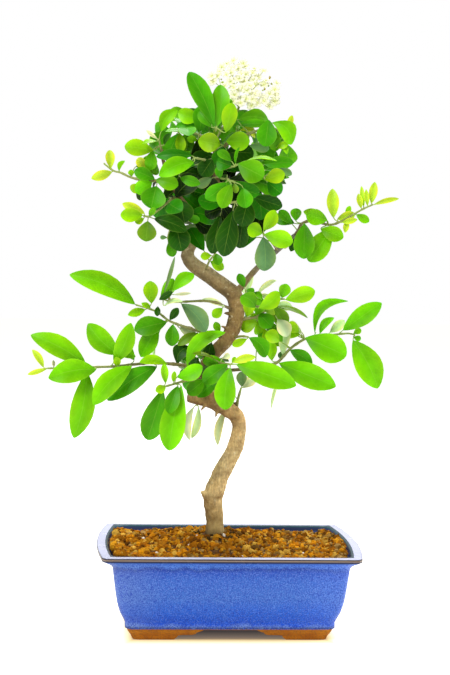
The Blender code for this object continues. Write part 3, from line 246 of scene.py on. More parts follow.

# %% [markdown]
# Leafy stems
#
# Each stem has one letter for the tone of each leaf, a twig radius, how far its end leans
# back (or, below 0, to the viewer), its twigs as routes of (across, up, back), and its leaves
# as (base across, base up, tip across, tip up, width, back, tilt, sway).
# back is the tip's depth behind the twig, tilt turns the upper face to the sky in degrees,
# and sway bends the midrib to the right of the way the leaf points; a row may end before
# tilt or sway where they are 0. Leaves could be strewn by a rule, but a bonsai is trimmed
# leaf by leaf, and one knows it by its outline, so every leaf that shows has its own row.
# The tones are k blackish, which is painted deep shade, d dark, e deep green, m mid green,
# n fresh green, b bright, l lime, y young yellow, o olive, g grey-green, which is a painted grey
# sheen, p pale, which is painted light shining through the blade, and c cream.

# %% Stems below the head
LOWER_STEMS = {
    "stem_left_long": ("bbbblbbblyycbdmb", 1.5, -14, [[(-18, 200, 1), (-35, 204, -5),
      (-50, 205.5, -8), (-62, 206, -10), (-80, 204, -12), (-95, 202.5, -12), (-107, 202, -12),
      (-118, 201.5, -10), (-130, 201, -8), (-144, 200.5, -6)]], [
      (-114, 204, -157, 227, 17, -8, 15, 1), (-106, 200, -143, 193, 18.5, -14, 5, 2),
      (-113, 198, -122.5, 145.5, 18.5, -4, 0, -2), (-78, 203, -108, 172, 17, -10, 5, 3),
      (-50, 205, -72, 206, 9, -10, 30, 2), (-88, 212, -112.7, 236, 17, 6, 0, -2),
      (-92, 206, -79, 237, 14.5, -6, 0, 2), (-90, 214, -75, 210.5, 7, 2, 20),
      (-89, 203, -90, 210.5, 6, -6), (-147, 201, -156, 215, 5.5, 4, 0, 1),
      (-144, 200.5, -159.5, 195.5, 4, 4), (-139, 201.5, -139.5, 207, 2.5, 2),
      (-34, 202, -4.5, 231, 12, -12, 10, -8), (-42, 205, -32, 219, 13, 6, 10, -4),
      (-58, 203, -96.7, 176, 17, -10, 5, 2), (-76, 208, -84.5, 220.5, 7.5, 3)]),
    "stem_left_low": ("mbmlllbm", 1.4, -12, [[(-19, 194, 0), (-26, 193, -8), (-34, 192.5, -14),
      (-44, 189.5, -16), (-54, 186.5, -16)]], [
      (-53, 185, -65, 144.5, 19, 6, 10, -1), (-38.5, 188, -47.5, 136.5, 20, -2, 0, 1),
      (-41, 188, -48, 166, 11.5, -10, 10), (-51, 190, -52.5, 205.5, 6, -10),
      (-45, 191, -44, 199.5, 4, -6), (-51, 187, -58.5, 183.5, 7, -8),
      (-42, 195, -22, 203.5, 12.5, -8, 10, 2), (-20, 193, -33.5, 181.5, 12, -4)]),
    "stem_low_back": ("ppm", 1.1, 6, [[(-16, 181, 1), (-22, 177, 10), (-26, 173, 16)]], [
      (-28.6, 171, -31, 145, 8, 4, 20, 3), (-24.5, 171, -29.5, 146.5, 7, 6, 20, -3),
      (-20, 183, -30, 184, 8, 2, 10)]),
    "stem_centre_whorl": ("bmnmbyplo", 1.3, -14, [[(-17, 206, 0), (-8, 206.5, -8), (0, 205.5, -14)]], [
      (0, 203, -3.5, 169.5, 17, -4, 10, 1), (-1.8, 205.5, -21.4, 191, 14, 1, 10),
      (-4, 207, -22, 208.5, 9.5, 4), (-9, 194, -25.5, 179.5, 11, 5, 10),
      (5, 205.5, 53, 189.5, 19, -8, 5), (2, 207, 20, 212, 7, -4, 20), (-6, 210.5, -0.5, 213, 5, 4),
      (1.5, 206.5, 4, 211.5, 3.5, -4), (-12, 209, -30, 213, 8, -4, 70)]),
    "stem_right_long": ("bbbbbbpblmlpgp", 1.5, 16, [[(-16, 203, 2), (-4, 201, 10), (20, 203, 4),
      (38, 208, -2), (48, 219, -2), (59, 226.5, -2), (76, 229.5, -2), (94, 231.5, -4),
      (99, 230.5, -4)]], [
      (39, 207, 84.5, 189, 20, -6), (59.5, 227.5, 92.5, 213.5, 23.5, -8, 5),
      (89.5, 234, 120, 256, 15.5, -4, 5), (97.7, 226, 118.5, 188, 22, -6, 0, -2),
      (67, 231, 93, 257, 8.5, 4, 10, -11), (71, 231, 82, 244, 7, 2, 20, -2),
      (79, 232, 90.5, 241.5, 8, 8), (98, 228.5, 104, 227, 5, 0), (98, 231.5, 104, 235, 5.5, -2),
      (47.5, 217.5, 65.5, 206.5, 10.5, -4, 0, -1), (33, 209, 32, 224.5, 9.5, -2),
      (42, 213, 47, 236, 8.5, 4, 0, -2), (45, 217, 38.5, 211.5, 6, 6),
      (42, 204, 32, 171, 5, 10, 60, -5)]),
    "stem_elbow": ("gpp", 1.6, 0, [[(5, 166, 1), (6.5, 177, 4), (9, 187, 5)], [(6.2, 174.5, 3),
      (0, 173, 12), (-2.8, 170.5, 15)]], [
      (9.5, 188, 9, 200, 8.5, 0), (10, 187, 20, 195.5, 8, 4), (-2.8, 170, -9.6, 141, 7, 4, 20, 1)]),
    "stem_mid_left": ("bllldmbdmcobp", 1.3, 26, [[(-3, 225, 0), (-14, 229, -5), (-27, 232, -8),
      (-43, 237, -9), (-50, 240, -11), (-58, 246, -13), (-66, 249, -13), (-75, 251.5, -13)]], [
      (-76, 252, -127.5, 274.6, 18, -6, 15, 3), (-63, 253, -64.5, 270.5, 12, -4),
      (-68, 248, -81.5, 243.5, 7, -6), (-64, 250, -71, 253, 4.5, -8), (-58, 250.5, -58.5, 243, 5, -8),
      (-51, 238, -76, 232, 16, -8, 10), (-58, 236, -70.7, 210.4, 14.5, 2),
      (-48.5, 240, -42, 249.5, 6.5, -4), (-46, 236.5, -46.5, 219.5, 11.5, -6),
      (-41, 234, -28, 229, 9, 4), (-26, 230, -42, 220, 8, -4, 20), (-9, 230, -12.5, 239, 6, -2),
      (-54, 236, -61, 208, 4.5, 6, 50, 1)]),
    "stem_mid_left_upper": ("glbbgdppp", 1.1, -6, [[(1, 249, -1), (-6, 252, -8), (-12, 254.5, -12),
      (-22, 255.5, -15), (-40, 254.5, -17), (-48, 254.5, -18), (-54, 256.5, -19)], [(-48, 254.5, -23),
      (-50, 259, -24), (-49, 262.5, -24)]], [
      (-39.5, 253, -19.5, 231.5, 15, -4, 10, -2), (-7, 250, -14.5, 243, 8, -2),
      (-56, 257.5, -46, 272.5, 10, -2, 0, 1), (-46, 263, -30, 276.5, 10.5, -2, 10, -2),
      (-53, 262, -45.5, 290, 3.5, 4, 30, 2), (-57, 256, -46.5, 262.5, 5.5, -6),
      (-46, 260, -32, 261.5, 2.5, 4), (-5, 251, -23, 257, 5.5, -4, 40),
      (-53, 251, -38.5, 254.5, 4.5, -6, 40, -2)]),
    "stem_right_low": ("ml", 1.1, -10, [[(2, 227, 0), (9, 228, -8), (14, 227.5, -11)]], [
      (14.5, 227, 28.5, 212, 12, -4, 10, -3), (13, 226, 1.5, 220.5, 6.5, 0)]),
    "stem_right_mid": ("moolnmp", 1.2, 14, [[(5, 240.5, 1), (13, 242, -6), (20, 243.5, -9),
      (25, 247, -9), (32, 251, -9)]], [
      (22, 246, 32.5, 235.5, 13.5, -6, 10), (32, 252, 43.5, 235.5, 13, -2, 10, -1),
      (36, 252, 61, 243.5, 7, 2, 60), (21, 240, 8, 233.5, 11, 2, 10),
      (28, 241, 41, 223.5, 6, 4, 0, -2), (23, 241, 33, 231, 5, 2, 30),
      (34, 253, 48, 251.5, 8, 4, 20)]),
    "stem_right_upper": ("nnmmlbl", 1.1, -12, [[(5, 259, 0), (12, 260, -9), (16, 256, -13),
      (21, 251.5, -15), (28, 253.5, -15), (36, 257.5, -14), (42, 258, -13)]], [
      (19, 251, 7.6, 260, 13, -6, 0, 2), (16, 262, 24.5, 257, 5, 0, 20, -2), (12, 265, 18, 262, 7, -2),
      (10, 267, 5.5, 277.5, 7, -2), (22, 250.5, 38, 263.5, 12, -6, 0, 2), (40, 259, 44, 270, 9.5, -2),
      (43, 257.5, 66.4, 265, 13, -6)]),
}
print("stems below the head:", len(LOWER_STEMS))

# %% Stems of the branch and the head
HEAD_STEMS = {
    "stem_branch_front": ("glll", 1.0, -14, [[(36, 296.5, -1), (31, 303, -11), (24.5, 309.5, -18)]], [
      (24.5, 307, 26, 280, 16.5, 2, 0, -1), (23.5, 309.5, 12, 314.5, 12, -4),
      (24.5, 312, 33.5, 328, 10.5, -6, 0, 1), (25.5, 309, 48, 303, 14, -8)]),
    "stem_branch_right": ("nbbblyyyyblyyyyydnmcm", 1.3, 14, [[(48, 307.5, 0), (52, 312, -2),
      (55, 318, -4), (64, 320.5, -6), (76, 317.5, -6), (84.5, 319.5, -6), (95, 325.5, -6),
      (103.5, 330.5, -6), (111, 334, -6)]], [
      (57, 318, 57, 290, 17, -6), (79, 315, 61, 288, 18, -2), (70, 314, 88, 307.5, 12.5, -10),
      (75, 321, 58, 325, 13, -6), (72, 324.5, 56, 327.5, 8, 2), (80, 323, 78.7, 346, 10, 0),
      (83, 322, 97.5, 326.5, 8, 4), (87, 319.5, 99, 322, 5, -6), (91, 321, 89.5, 311.5, 5, -4),
      (98, 326, 108.5, 320.5, 7, -4), (90, 325, 93, 332.5, 4.5, 4), (102, 331, 99.5, 342.5, 5, 0),
      (104, 332, 101.8, 348.5, 4, 4), (107, 333, 105.6, 346, 4, -4), (110, 335, 112.5, 352, 7, 0),
      (112, 334, 132, 339.5, 4.5, -2, 20), (51, 309, 46.5, 296, 7, -4), (50, 320, 50, 330, 9, 4),
      (47, 317.5, 36.5, 328, 8, 0, 10), (47, 304, 39.5, 299.5, 6, 6),
      (49, 318, 33, 323, 10.5, 8, 10)]),
    "stem_crown": ("mnlmob", 1.4, -6, [[(-15, 378, -8), (-15, 386, -12), (-14.5, 392, -15)]], [
      (-16, 393, -36.6, 434.6, 15.5, -4, 10, 1), (-13.5, 393, -11.5, 425.5, 14, -2, 10, 2),
      (-6.5, 388.5, -2.2, 411.5, 12, -10), (-18, 392, -28, 404.5, 8.5, 4),
      (-14.5, 385, -14.5, 391.5, 4, -10), (-13, 396, -3, 414.5, 8.5, 6)]),
    "stem_crown_left": ("lmblb", 1.2, 4, [[(-15, 374, -6), (-20, 381, 2), (-28, 386, 6),
      (-37, 388, 6), (-43, 388.5, 6)]], [
      (-26.5, 400, -44.5, 403, 12.8, 0, 10, -2), (-27, 393, -46, 392.5, 8, 6, 10),
      (-37, 386.5, -54, 387.8, 8, -10, 72), (-43, 387, -41.5, 372, 8.5, -6),
      (-29, 382, -37, 383, 6, -4)]),
    "stem_crown_right": ("llnmymbnyllg", 1.3, -4, [[(-14, 368, -3), (-8, 377, -11), (2, 384, -15),
      (12, 388, -16), (20, 391, -16), (28, 394, -15), (35, 390, -13), (40, 384, -13)]], [
      (-6, 381.5, 12.5, 382, 15, -10), (-11, 379, -29, 381.5, 15, -12),
      (3, 399, 27, 398, 13, 10, 20, -2), (3, 394.5, 25, 395.5, 7, 2, 20),
      (4, 390, 16.5, 384.5, 7, 2, 30, -4), (27, 399, 24.5, 378, 16, -5),
      (30, 397, 45.7, 380.5, 14, -8, 0, -5), (31, 393, 33, 374.5, 10, 2), (41, 387, 45.5, 403, 5, 4),
      (34, 377, 42.5, 380.5, 6, -2, 20), (39.2, 382.6, 42, 372.5, 4, -4),
      (12, 378.5, 28, 376.5, 8, 4)]),
    "stem_left_top": ("bdllpn", 1.0, 4, [[(-56.5, 371, -13), (-58, 377, -17), (-59, 381.5, -18)]], [
      (-57.5, 388, -45, 405, 10.5, -2, 10, -3), (-55, 377.5, -50.5, 386.5, 6.5, -2, 50),
      (-63.5, 373, -86, 375.5, 13.5, -4, 10), (-61, 380, -72, 378, 6, -10, 60),
      (-60.5, 382, -69, 388.5, 3, 4), (-64, 373, -66, 357.5, 10, -4)]),
    "stem_left_inner": ("ebdm", 1.2, -4, [[(-14, 362, -2), (-22, 366, -12), (-31, 368, -18)]], [
      (-33, 369.5, -61, 368.7, 9.5, 0, 20), (-31.5, 364.5, -58.5, 353.5, 14, -8, 10, 2),
      (-17, 367, -25.5, 354, 14, -2), (-42, 352, -26, 347.5, 8, -6)]),
    "stem_left_shoot": ("mybllyylmn", 1.3, 10, [[(-51, 352, -8), (-60, 349.5, -17),
      (-70, 349.5, -18), (-80.5, 351.5, -15), (-88.5, 355, -13), (-94.5, 356.5, -12),
      (-102, 362, -11)]], [
      (-62, 350.5, -78, 357, 10.5, -4, 10), (-70, 357, -75, 367, 7.5, 6),
      (-64, 348, -77, 340.5, 12, -6), (-80, 352.5, -81, 357.5, 5, -2), (-73, 346.5, -80, 341, 8, 8),
      (-95.5, 355.5, -111.5, 350, 8, -2), (-96.5, 358, -97.5, 372.5, 7.5, 0),
      (-90, 356, -85.5, 364.5, 4, 2, 0, -2), (-60.5, 345, -64.5, 327.5, 20, -8, 5),
      (-61, 350, -43.5, 346, 12, -6, 10)]),
    "stem_left_mid": ("yllnodd", 1.2, -6, [[(-43, 338, -2), (-51, 333, -14), (-60, 325.5, -19),
      (-66.5, 321, -20), (-70, 321.5, -20)]], [
      (-69.5, 323.5, -87, 331, 8, -2), (-71, 322, -88.5, 322, 11, -6), (-70, 319.5, -77, 316.5, 6, -2),
      (-66, 322, -61.5, 328, 5, -8), (-67, 317.5, -68, 301.5, 15, -6),
      (-62, 319.5, -36, 310.5, 12.5, -2, 15, -1), (-43, 335, -38, 317, 18, 2, 10)]),
    "stem_left_bottom": ("dmgm", 1.2, 2, [[(-31, 325, 2), (-38, 323, -9), (-45, 319, -13),
      (-50, 309, -13), (-51, 304, -12)]], [
      (-45, 316.5, -40, 294.5, 18, -4), (-50, 302, -46.5, 290, 8.5, 0), (-51.5, 305, -57, 305, 3.5, 4),
      (-37, 321, -26, 319, 7, -2)]),
    "stem_centre": ("nmgmmome", 1.1, -8, [[(-4, 349.5, 0), (-5, 352, -11), (-4, 351, -19)]], [
      (-1.5, 347.5, -9.3, 329, 12, -6, 0, 1), (-6, 349, -21.5, 336, 12.5, -4, 0, -1),
      (-17, 352.5, -28.5, 345.5, 8, 2), (-10.5, 352.5, -12.5, 361.5, 6.5, -6),
      (-5.5, 351.5, -2, 346, 5, -8), (1, 348.5, 2.5, 341, 5, -2), (8, 345, 10.2, 329.5, 12.5, -2),
      (1.5, 350, 20, 340.5, 13, 2, 10, 2)]),
    "stem_centre_top": ("nmeml", 1.2, -4, [[(-14, 357, 0), (-7, 360, -11), (1, 362, -18)]], [
      (3.5, 364, 24, 354, 18, -6), (1.5, 364, 4.5, 377, 5, -4, 60), (-2, 362, -13, 366, 13, 4),
      (-2, 366, -13, 373.5, 8, 0, 30), (10, 366.5, 33.9, 367.5, 7, -2, 70)]),
    "stem_head_right": ("lemg", 1.1, -4, [[(17, 356.8, -5), (22, 357.5, -13), (24, 354, -17)]], [
      (25, 352, 40.5, 357.5, 11.5, -6), (27, 350, 38, 341.5, 12.5, -2),
      (24, 364, 47.5, 366, 11, 2, 10), (36, 361, 46, 356.5, 6, 8)]),
    # The leaves under the head are dark: their tones are painted shade.
    "stem_head_bottom": ("dddddk", 1.3, 0, [[(-17, 334, 6), (-8, 333, -6), (2, 334, -11),
      (11, 338, -13)]], [
      (12, 336, 6.8, 315, 17, -4), (0, 327, -7, 291, 17.5, 0), (8, 320, 5.5, 297.5, 12.5, 6),
      (-10, 323, -16, 293, 14, 4), (16, 338, 39, 331, 12, -2), (-8, 329, -22, 323, 12, 4, 10)]),
    "stem_under_trunk": ("mll", 0.9, -4, [[(-21, 279, -1), (-18, 287, -9), (-15, 290.5, -11)]], [
      (-12.5, 293, -10.5, 284, 8, -4), (-16.5, 291.5, -25, 290.5, 6.5, -2),
      (-17, 287, -6.5, 281, 8, -2)]),
}
STEMS = {**LOWER_STEMS, **HEAD_STEMS}
print("stems of the branch and the head:", len(HEAD_STEMS))

# %% Stems that the front view hides
# Tones, twig radius, route, number of leaves, leaf length
HIDDEN_STEMS = {
    "stem_back_top": ("mnmnemn", 1.3, [(-14.2, 366, -2), (-14, 378, 9), (-18, 394, 22),
      (-19, 399, 34)], 8, 24),
    "stem_back_left": ("dedkded", 1.3, [(-13, 343, 25), (-26, 349, 38), (-40, 354, 50)], 8, 22),
    "stem_back_right": ("nmmenmm", 1.3, [(-12, 346, 30), (4, 354, 42), (18, 360, 52)], 8, 23),
    "stem_back_middle": ("mememem", 1.2, [(-10, 350, 35), (-10, 362, 50), (-12, 376, 58)], 8, 22),
    "stem_back_low": ("ddkdkdd", 1.3, [(-20, 325, 6), (-24, 319, 24), (-29, 313, 38)], 7, 22),
    "stem_back_side": ("dmmbdmd", 1.2, [(10, 353.5, -4), (17, 348, 14), (25, 344, 30)], 7, 21),
    "stem_lower_back": ("dmmbdmd", 1.2, [(-18.5, 199, 0), (-22, 203, 20), (-27, 208, 36)], 6, 22),
    "stem_middle_back": ("ppplpp", 1.2, [(4.5, 250, 2), (11, 255, 18), (17, 258, 32)], 6, 21),
}
print("hidden stems:", len(HIDDEN_STEMS))

# %% [markdown]
# From the front view into space
#
# `sight` turns an (across, up, back) point into space along the line from the eye. A route
# could be joined by straight lines, but twigs bend, so a Catmull-Rom curve is led through its
# points: it passes through each of them, as a Bezier curve would not.

# %% Sight lines and routes

def sight(across, up, back):
    push = 1 - back / EYE.y
    return EYE + (Vector((across, 0, up)) - EYE) * push


def smooth_route(points, step):
    """Catmull-Rom curve through points of any dimension, cut about every step millimetres."""
    ends = [[2 * a - b for a, b in zip(points[0], points[1])],
            [2 * a - b for a, b in zip(points[-1], points[-2])]]
    padded = [ends[0]] + [list(p) for p in points] + [ends[1]]
    route = [list(points[0])]
    for p0, p1, p2, p3 in zip(padded, padded[1:], padded[2:], padded[3:]):
        parts = max(1, round(math.dist(p1[:3], p2[:3]) / step))
        for i in range(1, parts + 1):
            t = i / parts
            route.append([b + 0.5 * t * (c - a + t * (2 * a - 5 * b + 4 * c - d
                                                      + t * (3 * (b - c) + d - a)))
                          for a, b, c, d in zip(p0, p1, p2, p3)])
    return route


def twig_route(points, radius, lean=0.0, bulge=0.0, step=10.0):
    """Twig centreline in the front view, leaning out to its tip, with a radius that tapers."""
    route = []
    smooth = smooth_route(points, step)
    for i, (across, up, back) in enumerate(smooth):
        t = i / (len(smooth) - 1)
        off = math.hypot((across - HEAD_CENTRE[0]) / HEAD_HALF, (up - HEAD_CENTRE[1]) / HEAD_HALF)
        back += lean * t - bulge * max(0.0, 1 - off ** 2) * t
        route.append([across, up, back, radius + (PETIOLE + 0.1 - radius) * t])
    return route


print("trunk route:", len(smooth_route(LIMBS["trunk"], 10.0)), "points")

# %% [markdown]
# One leaf
#
# A leaf has a base, a tip, a width and an upper face. While leaves are being placed, a blade
# is a rough folded shell of a few points: the fine blade that is seen in the end would give
# the same answer to "does it touch?", but far more slowly.

# %% Leaf frame and rough blade

def leaf_frame(base, tip, face):
    """Length, direction, right-hand side and upper-face normal of a leaf."""
    run = tip - base
    along = run.normalized()
    side = along.cross(face).normalized()
    return run.length, along, side, side.cross(along)


def front_face(base, tip, tilt):
    """Direction of a leaf's upper face: at the eye, turned to the sky by tilt degrees."""
    side, normal = leaf_frame(base, tip, EYE - (base + tip) / 2)[2:]
    lift = side if side.z >= 0 else -side
    turn = math.radians(tilt)
    return normal * math.cos(turn) + lift * math.sin(turn)


def make_leaf(root, base, tip, width, face, sway):
    return {"root": root, "base": base, "tip": tip, "width": width, "face": face, "sway": sway}


def ring_faces(rings, point):
    """Triangles of a closed strip of four-point rings, split alike on both faces."""
    verts = [v for ring in rings for v in ring]
    faces = [(0, 2, 1), (0, 3, 2)]
    for i in range(len(rings) - 1):
        for k in range(4):
            a, b = 4 * i + k, 4 * i + (k + 1) % 4
            if k % 2 == 0:
                faces += [(a, b, b + 4), (a, b + 4, a + 4)]
            else:
                faces += [(a, b, a + 4), (b, b + 4, a + 4)]
    last = 4 * (len(rings) - 1)
    verts.append(point)
    faces += [(last + k, last + (k + 1) % 4, len(verts) - 1) for k in range(4)]
    return verts, faces


def blade_shell(leaf, grow=0.0):
    """Blade as four-point sections: right edge, top, left edge, underside."""
    length, along, side, normal = leaf_frame(leaf["base"], leaf["tip"], leaf["face"])
    stations = [(0.0, 0.13), (0.38, 0.96), (0.76, 0.86)]
    if length < SHORT_LEAF:
        stations = [(0.0, 0.2), (0.6, 1.0)]
    rings = []
    for q, share in stations:
        bow = 4 * q * (1 - q)
        middle = leaf["base"] + along * length * q + normal * ARCH * length * bow
        middle += side * leaf["sway"] * bow
        half = max(leaf["width"] / 2 * share, 0.8) + grow
        edge = normal * FOLD * half
        thick = normal * (BLADE / 2 + grow)
        rings.append([middle + side * half + edge, middle + thick,
                      middle - side * half + edge, middle - thick])
    return ring_faces(rings, leaf["tip"] + along * grow)


print("leaf measures:", sorted(make_leaf(0, 0, 0, 0, 0, 0)))

# %% [markdown]
# Keeping clear
#
# Leaves that grow through each other are the first thing that looks false. Each rough shell
# is kept in a tree of its faces, and a new leaf is tried against them. A physics simulation
# could push the leaves apart as well, but it would also move them away from their places.

# %% Obstacles

def tube_faces(count, sides):
    """Faces of a closed tube of so many points, ring after ring."""
    faces = [tuple(range(sides))]
    for i in range(count - sides):
        a, b = i, i - i % sides + (i + 1) % sides
        faces.append((a, b, b + sides, a + sides))
    return faces + [tuple(range(count - sides, count))]


def tube_shell(points, radii, sides=6):
    verts = []
    side = (points[1] - points[0]).orthogonal()
    for i, point in enumerate(points):
        ahead = (points[min(i + 1, len(points) - 1)] - points[max(i - 1, 0)]).normalized()
        side = (side - ahead * side.dot(ahead)).normalized()
        other = ahead.cross(side)
        for k in range(sides):
            angle = math.tau * k / sides
            verts.append(point + (side * math.cos(angle) + other * math.sin(angle)) * radii[i])
    return verts, tube_faces(len(verts), sides)


def obstacle(node, kind, shell):
    """Shell of a stem or a blade, with the ball round it that is tested first."""
    verts, faces = shell
    low = Vector([min(v[i] for v in verts) for i in range(3)])
    high = Vector([max(v[i] for v in verts) for i in range(3)])
    return {"node": node, "kind": kind, "tree": BVHTree.FromPolygons(verts, faces),
            "middle": (low + high) / 2, "reach": (high - low).length / 2}


def wood(node, route, spare=0.3):
    return obstacle(node, "stem", tube_shell([sight(*p[:3]) for p in route],
                                             [p[3] + spare for p in route]))


def crosses(probe, obstacles, own_kinds):
    """True where a probe meets another node, or one of own_kinds in its own node."""
    for other in obstacles:
        if other["node"] == probe["node"] and other["kind"] not in own_kinds:
            continue
        if (other["middle"] - probe["middle"]).length > other["reach"] + probe["reach"]:
            continue
        if probe["tree"].overlap(other["tree"]):
            return True
    return False


def stalk_shell(leaf, grow=0.0):
    end = leaf["base"].lerp(leaf["tip"], 0.08)
    return tube_shell([leaf["root"], end], [PETIOLE + grow] * 2, 4)


def leaf_is_clear(node, leaf, obstacles):
    if crosses(obstacle(node, "blade", blade_shell(leaf, CLEARANCE)), obstacles, ("blade",)):
        return False
    return not crosses(obstacle(node, "stalk", stalk_shell(leaf, CLEARANCE)), obstacles, ())


def keep_leaf(node, leaf, obstacles):
    obstacles.append(obstacle(node, "blade", blade_shell(leaf)))
    obstacles.append(obstacle(node, "stalk", stalk_shell(leaf)))


print("clear air round a leaf:", CLEARANCE, "mm")

# %% [markdown]
# The flower head's plan
#
# Florets stand on a shallow dome, each turned by the golden angle from the one before, which
# is how many real heads are packed. Random places would leave heaps and holes.

# %% Corymb layout
FORK = (3.3, 408.6, -9)
CORYMB_TOP = (2.0, 419.0, -8)
SIDE_FORK = (9, 413, -10)
MAIN_STALK = [(-14.8, 382, -9), (-9, 392, -3), (-1, 401, -4), FORK, CORYMB_TOP]
FORKS = [(FORK, (-11, 424, -10)), (FORK, (14, 417, -11)), (CORYMB_TOP, (-2, 430, -4)),
         (CORYMB_TOP, (10, 429, -3)), (SIDE_FORK, (25, 416, -8)), (SIDE_FORK, (17, 427, -7))]


def corymb_florets(count=FLORETS, turn=0.0, seed="corymb"):
    """Floret centres and facing directions on a leaning, shallow dome."""
    lean = math.radians(CORYMB_LEAN)
    draw = random.Random(seed)
    florets = []
    for i in range(count):
        r = math.sqrt((i + 0.5) / count)
        x, y = r * math.cos(GOLDEN * i + turn), r * math.sin(GOLDEN * i + turn)
        across = CORYMB_CENTRE[0] + CORYMB_HALF[0] * x * math.cos(lean) - 5 * y * math.sin(lean)
        up = CORYMB_CENTRE[1] + CORYMB_HALF[0] * x * math.sin(lean) + CORYMB_HALF[1] * y
        back = CORYMB_CENTRE[2] + 13 * y + 5 * r * r + draw.uniform(-2, 2)
        facing = Vector((0.8 * x, -0.75 + 0.5 * y, 0.65 + 0.5 * y)).normalized()
        florets.append((sight(across, up, back), facing))
    return florets


def corymb_obstacles():
    stalk_radius, fork_radius, half_depth = 1.2, 1.0, 1.2
    found = [wood("flower_corymb", [(*p, stalk_radius) for p in smooth_route(MAIN_STALK, 6.0)], 0.0)]
    for start, end in FORKS:
        found.append(wood("flower_corymb", [(*start, fork_radius), (*end, fork_radius)], 0.0))
    for centre, facing in corymb_florets():
        ends = [centre - facing * half_depth, centre + facing * half_depth]
        found.append(obstacle("flower_corymb", "blade", tube_shell(ends, [FLORET_RADIUS + 0.2] * 2)))
    return found


print("florets on the dome:", len(corymb_florets()))

# %% [markdown]
# Laying out the leaves
#
# Every leaf is first tried at its own depth, then a little further forward or back, and at
# last a little smaller, until it is clear. That is what crowded leaves do on the plant: they
# bend round each other and keep their place in the light.

# %% Try each leaf until it is clear
SHRINKS = (1.0, 0.92, 0.84)
SHIFTS = (0, 3, -3, 6, -6, 9, -9, 12, -12, 15, -15, 19, -19, 23, 27)
HIDDEN_SHRINKS = (1.0, 0.85)
HIDDEN_TURNS = range(0, 360, 24)


def front_leaf(row, twigs, shift, shrink):
    """Leaf from its front-view row, with its tip pushed back by shift."""
    base_x, base_z, tip_x, tip_z, width, back, tilt, sway = (*row, 0, 0)[:8]
    start = min((p for twig in twigs for p in twig[1:]),
                key=lambda p: math.hypot(p[0] - base_x, p[1] - base_z))
    base = sight(base_x, base_z, start[2] + 0.35 * (back + shift))
    tip = sight(tip_x, tip_z, start[2] + back + shift)
    tip = base + (tip - base) * shrink
    return make_leaf(sight(*start[:3]), base, tip, width * shrink, front_face(base, tip, tilt),
                     sway * shrink)


def hidden_leaf(twig, index, count, length, size, turn, shrink):
    """Leaf of a hidden stem, set round it by the golden angle."""
    along_twig = 1.5 + (len(twig) - 2.5) * index / (count - 1)
    i = min(int(along_twig), len(twig) - 2)
    low, high = sight(*twig[i][:3]), sight(*twig[i + 1][:3])
    root = low.lerp(high, along_twig - i)
    along = (high - low).normalized()
    side = along.cross(Vector((0, 0, 1))).normalized()
    spin = Matrix.Rotation(GOLDEN * index + turn, 3, along)
    out = (spin @ side + along * 0.7 + Vector((0, 0, 0.15))).normalized()
    reach = length * size * shrink
    base = root + out * (3.0 + 2.0 * size)
    to_sky = Vector((0, 0.5, 1))
    face = (to_sky - out * out.dot(to_sky)).normalized()
    return make_leaf(root, base, base + out * reach, reach * 0.5, face, 0.0)


def place_first_clear(name, choices, leaves, obstacles):
    for leaf in choices:
        if leaf_is_clear(name, leaf, obstacles):
            keep_leaf(name, leaf, obstacles)
            leaves.append(leaf)
            return


print("tries for a leaf:", len(SHRINKS) * len(SHIFTS))

# %% Lay out the plant

def lay_out_foliage(obstacles):
    stems = {}
    for limb in LIMBS.values():
        obstacles.append(wood("trunk", smooth_route(limb, 11.0)))
    for foot, point, radius in SPURS:
        obstacles.append(wood("trunk", [(*foot, radius), (*point, 0.2)]))
    obstacles.extend(corymb_obstacles())
    for name, (tones, radius, lean, routes, rows) in STEMS.items():
        stems[name] = ([twig_route(route, radius, lean, HEAD_BULGE) for route in routes], [])
    for name, (tones, radius, route, count, length) in HIDDEN_STEMS.items():
        stems[name] = ([twig_route(route, radius)], [])
    for name, (twigs, leaves) in stems.items():
        obstacles.extend(wood(name, twig) for twig in twigs)
    for name, (tones, radius, lean, routes, rows) in STEMS.items():
        twigs, leaves = stems[name]
        for row in rows:
            choices = (front_leaf(row, twigs, shift, shrink) for shrink in SHRINKS
                       for shift in SHIFTS)
            place_first_clear(name, choices, leaves, obstacles)
    for name, (tones, radius, route, count, length) in HIDDEN_STEMS.items():
        twigs, leaves = stems[name]
        draw = random.Random(name)
        for index in range(count):
            size = draw.uniform(0.8, 1.12)
            choices = (hidden_leaf(twigs[0], index, count, length, size, math.radians(turn), shrink)
                       for shrink in HIDDEN_SHRINKS for turn in HIDDEN_TURNS)
            place_first_clear(name, choices, leaves, obstacles)
    return stems


obstacles = []
stems = lay_out_foliage(obstacles)
print("stems:", len(stems), "leaves:", sum(len(leaves) for twigs, leaves in stems.values()))

# %% [markdown]
# Filling the crown
#
# A clipped head is so dense that the sky hardly shows through it. Leaves could be added
# everywhere, but only gaps need them: sight lines are sent through the crown, and where one
# passes between all the leaves, an inner leaf is grown from the nearest twig, if it has room.

# %% Outlines of the dense parts
# Name, outline in the front view, depths to try, shortest and longest leaf
CROWNS = [
    ("head", [(-55, 398), (-27, 410), (4, 408), (30, 399), (43, 382), (45, 356), (35, 332),
              (29, 318), (10, 300), (-13, 304), (-26, 304), (-44, 304), (-60, 318), (-70, 334),
              (-72, 352), (-67, 373), (-62, 389)], (2, 8, 14, 20, -4, 27, 34), (17, 25)),
    ("middle", [(-40, 215), (-16, 216), (-2, 203), (0, 184), (-22, 179), (-38, 183)],
     (-8, -12, -5, 4, 10), (14, 20)),
    ("right", [(9, 265), (24, 263), (43, 243), (55, 232), (30, 219), (14, 233)], (4, 10, -4),
     (12, 18)),
]
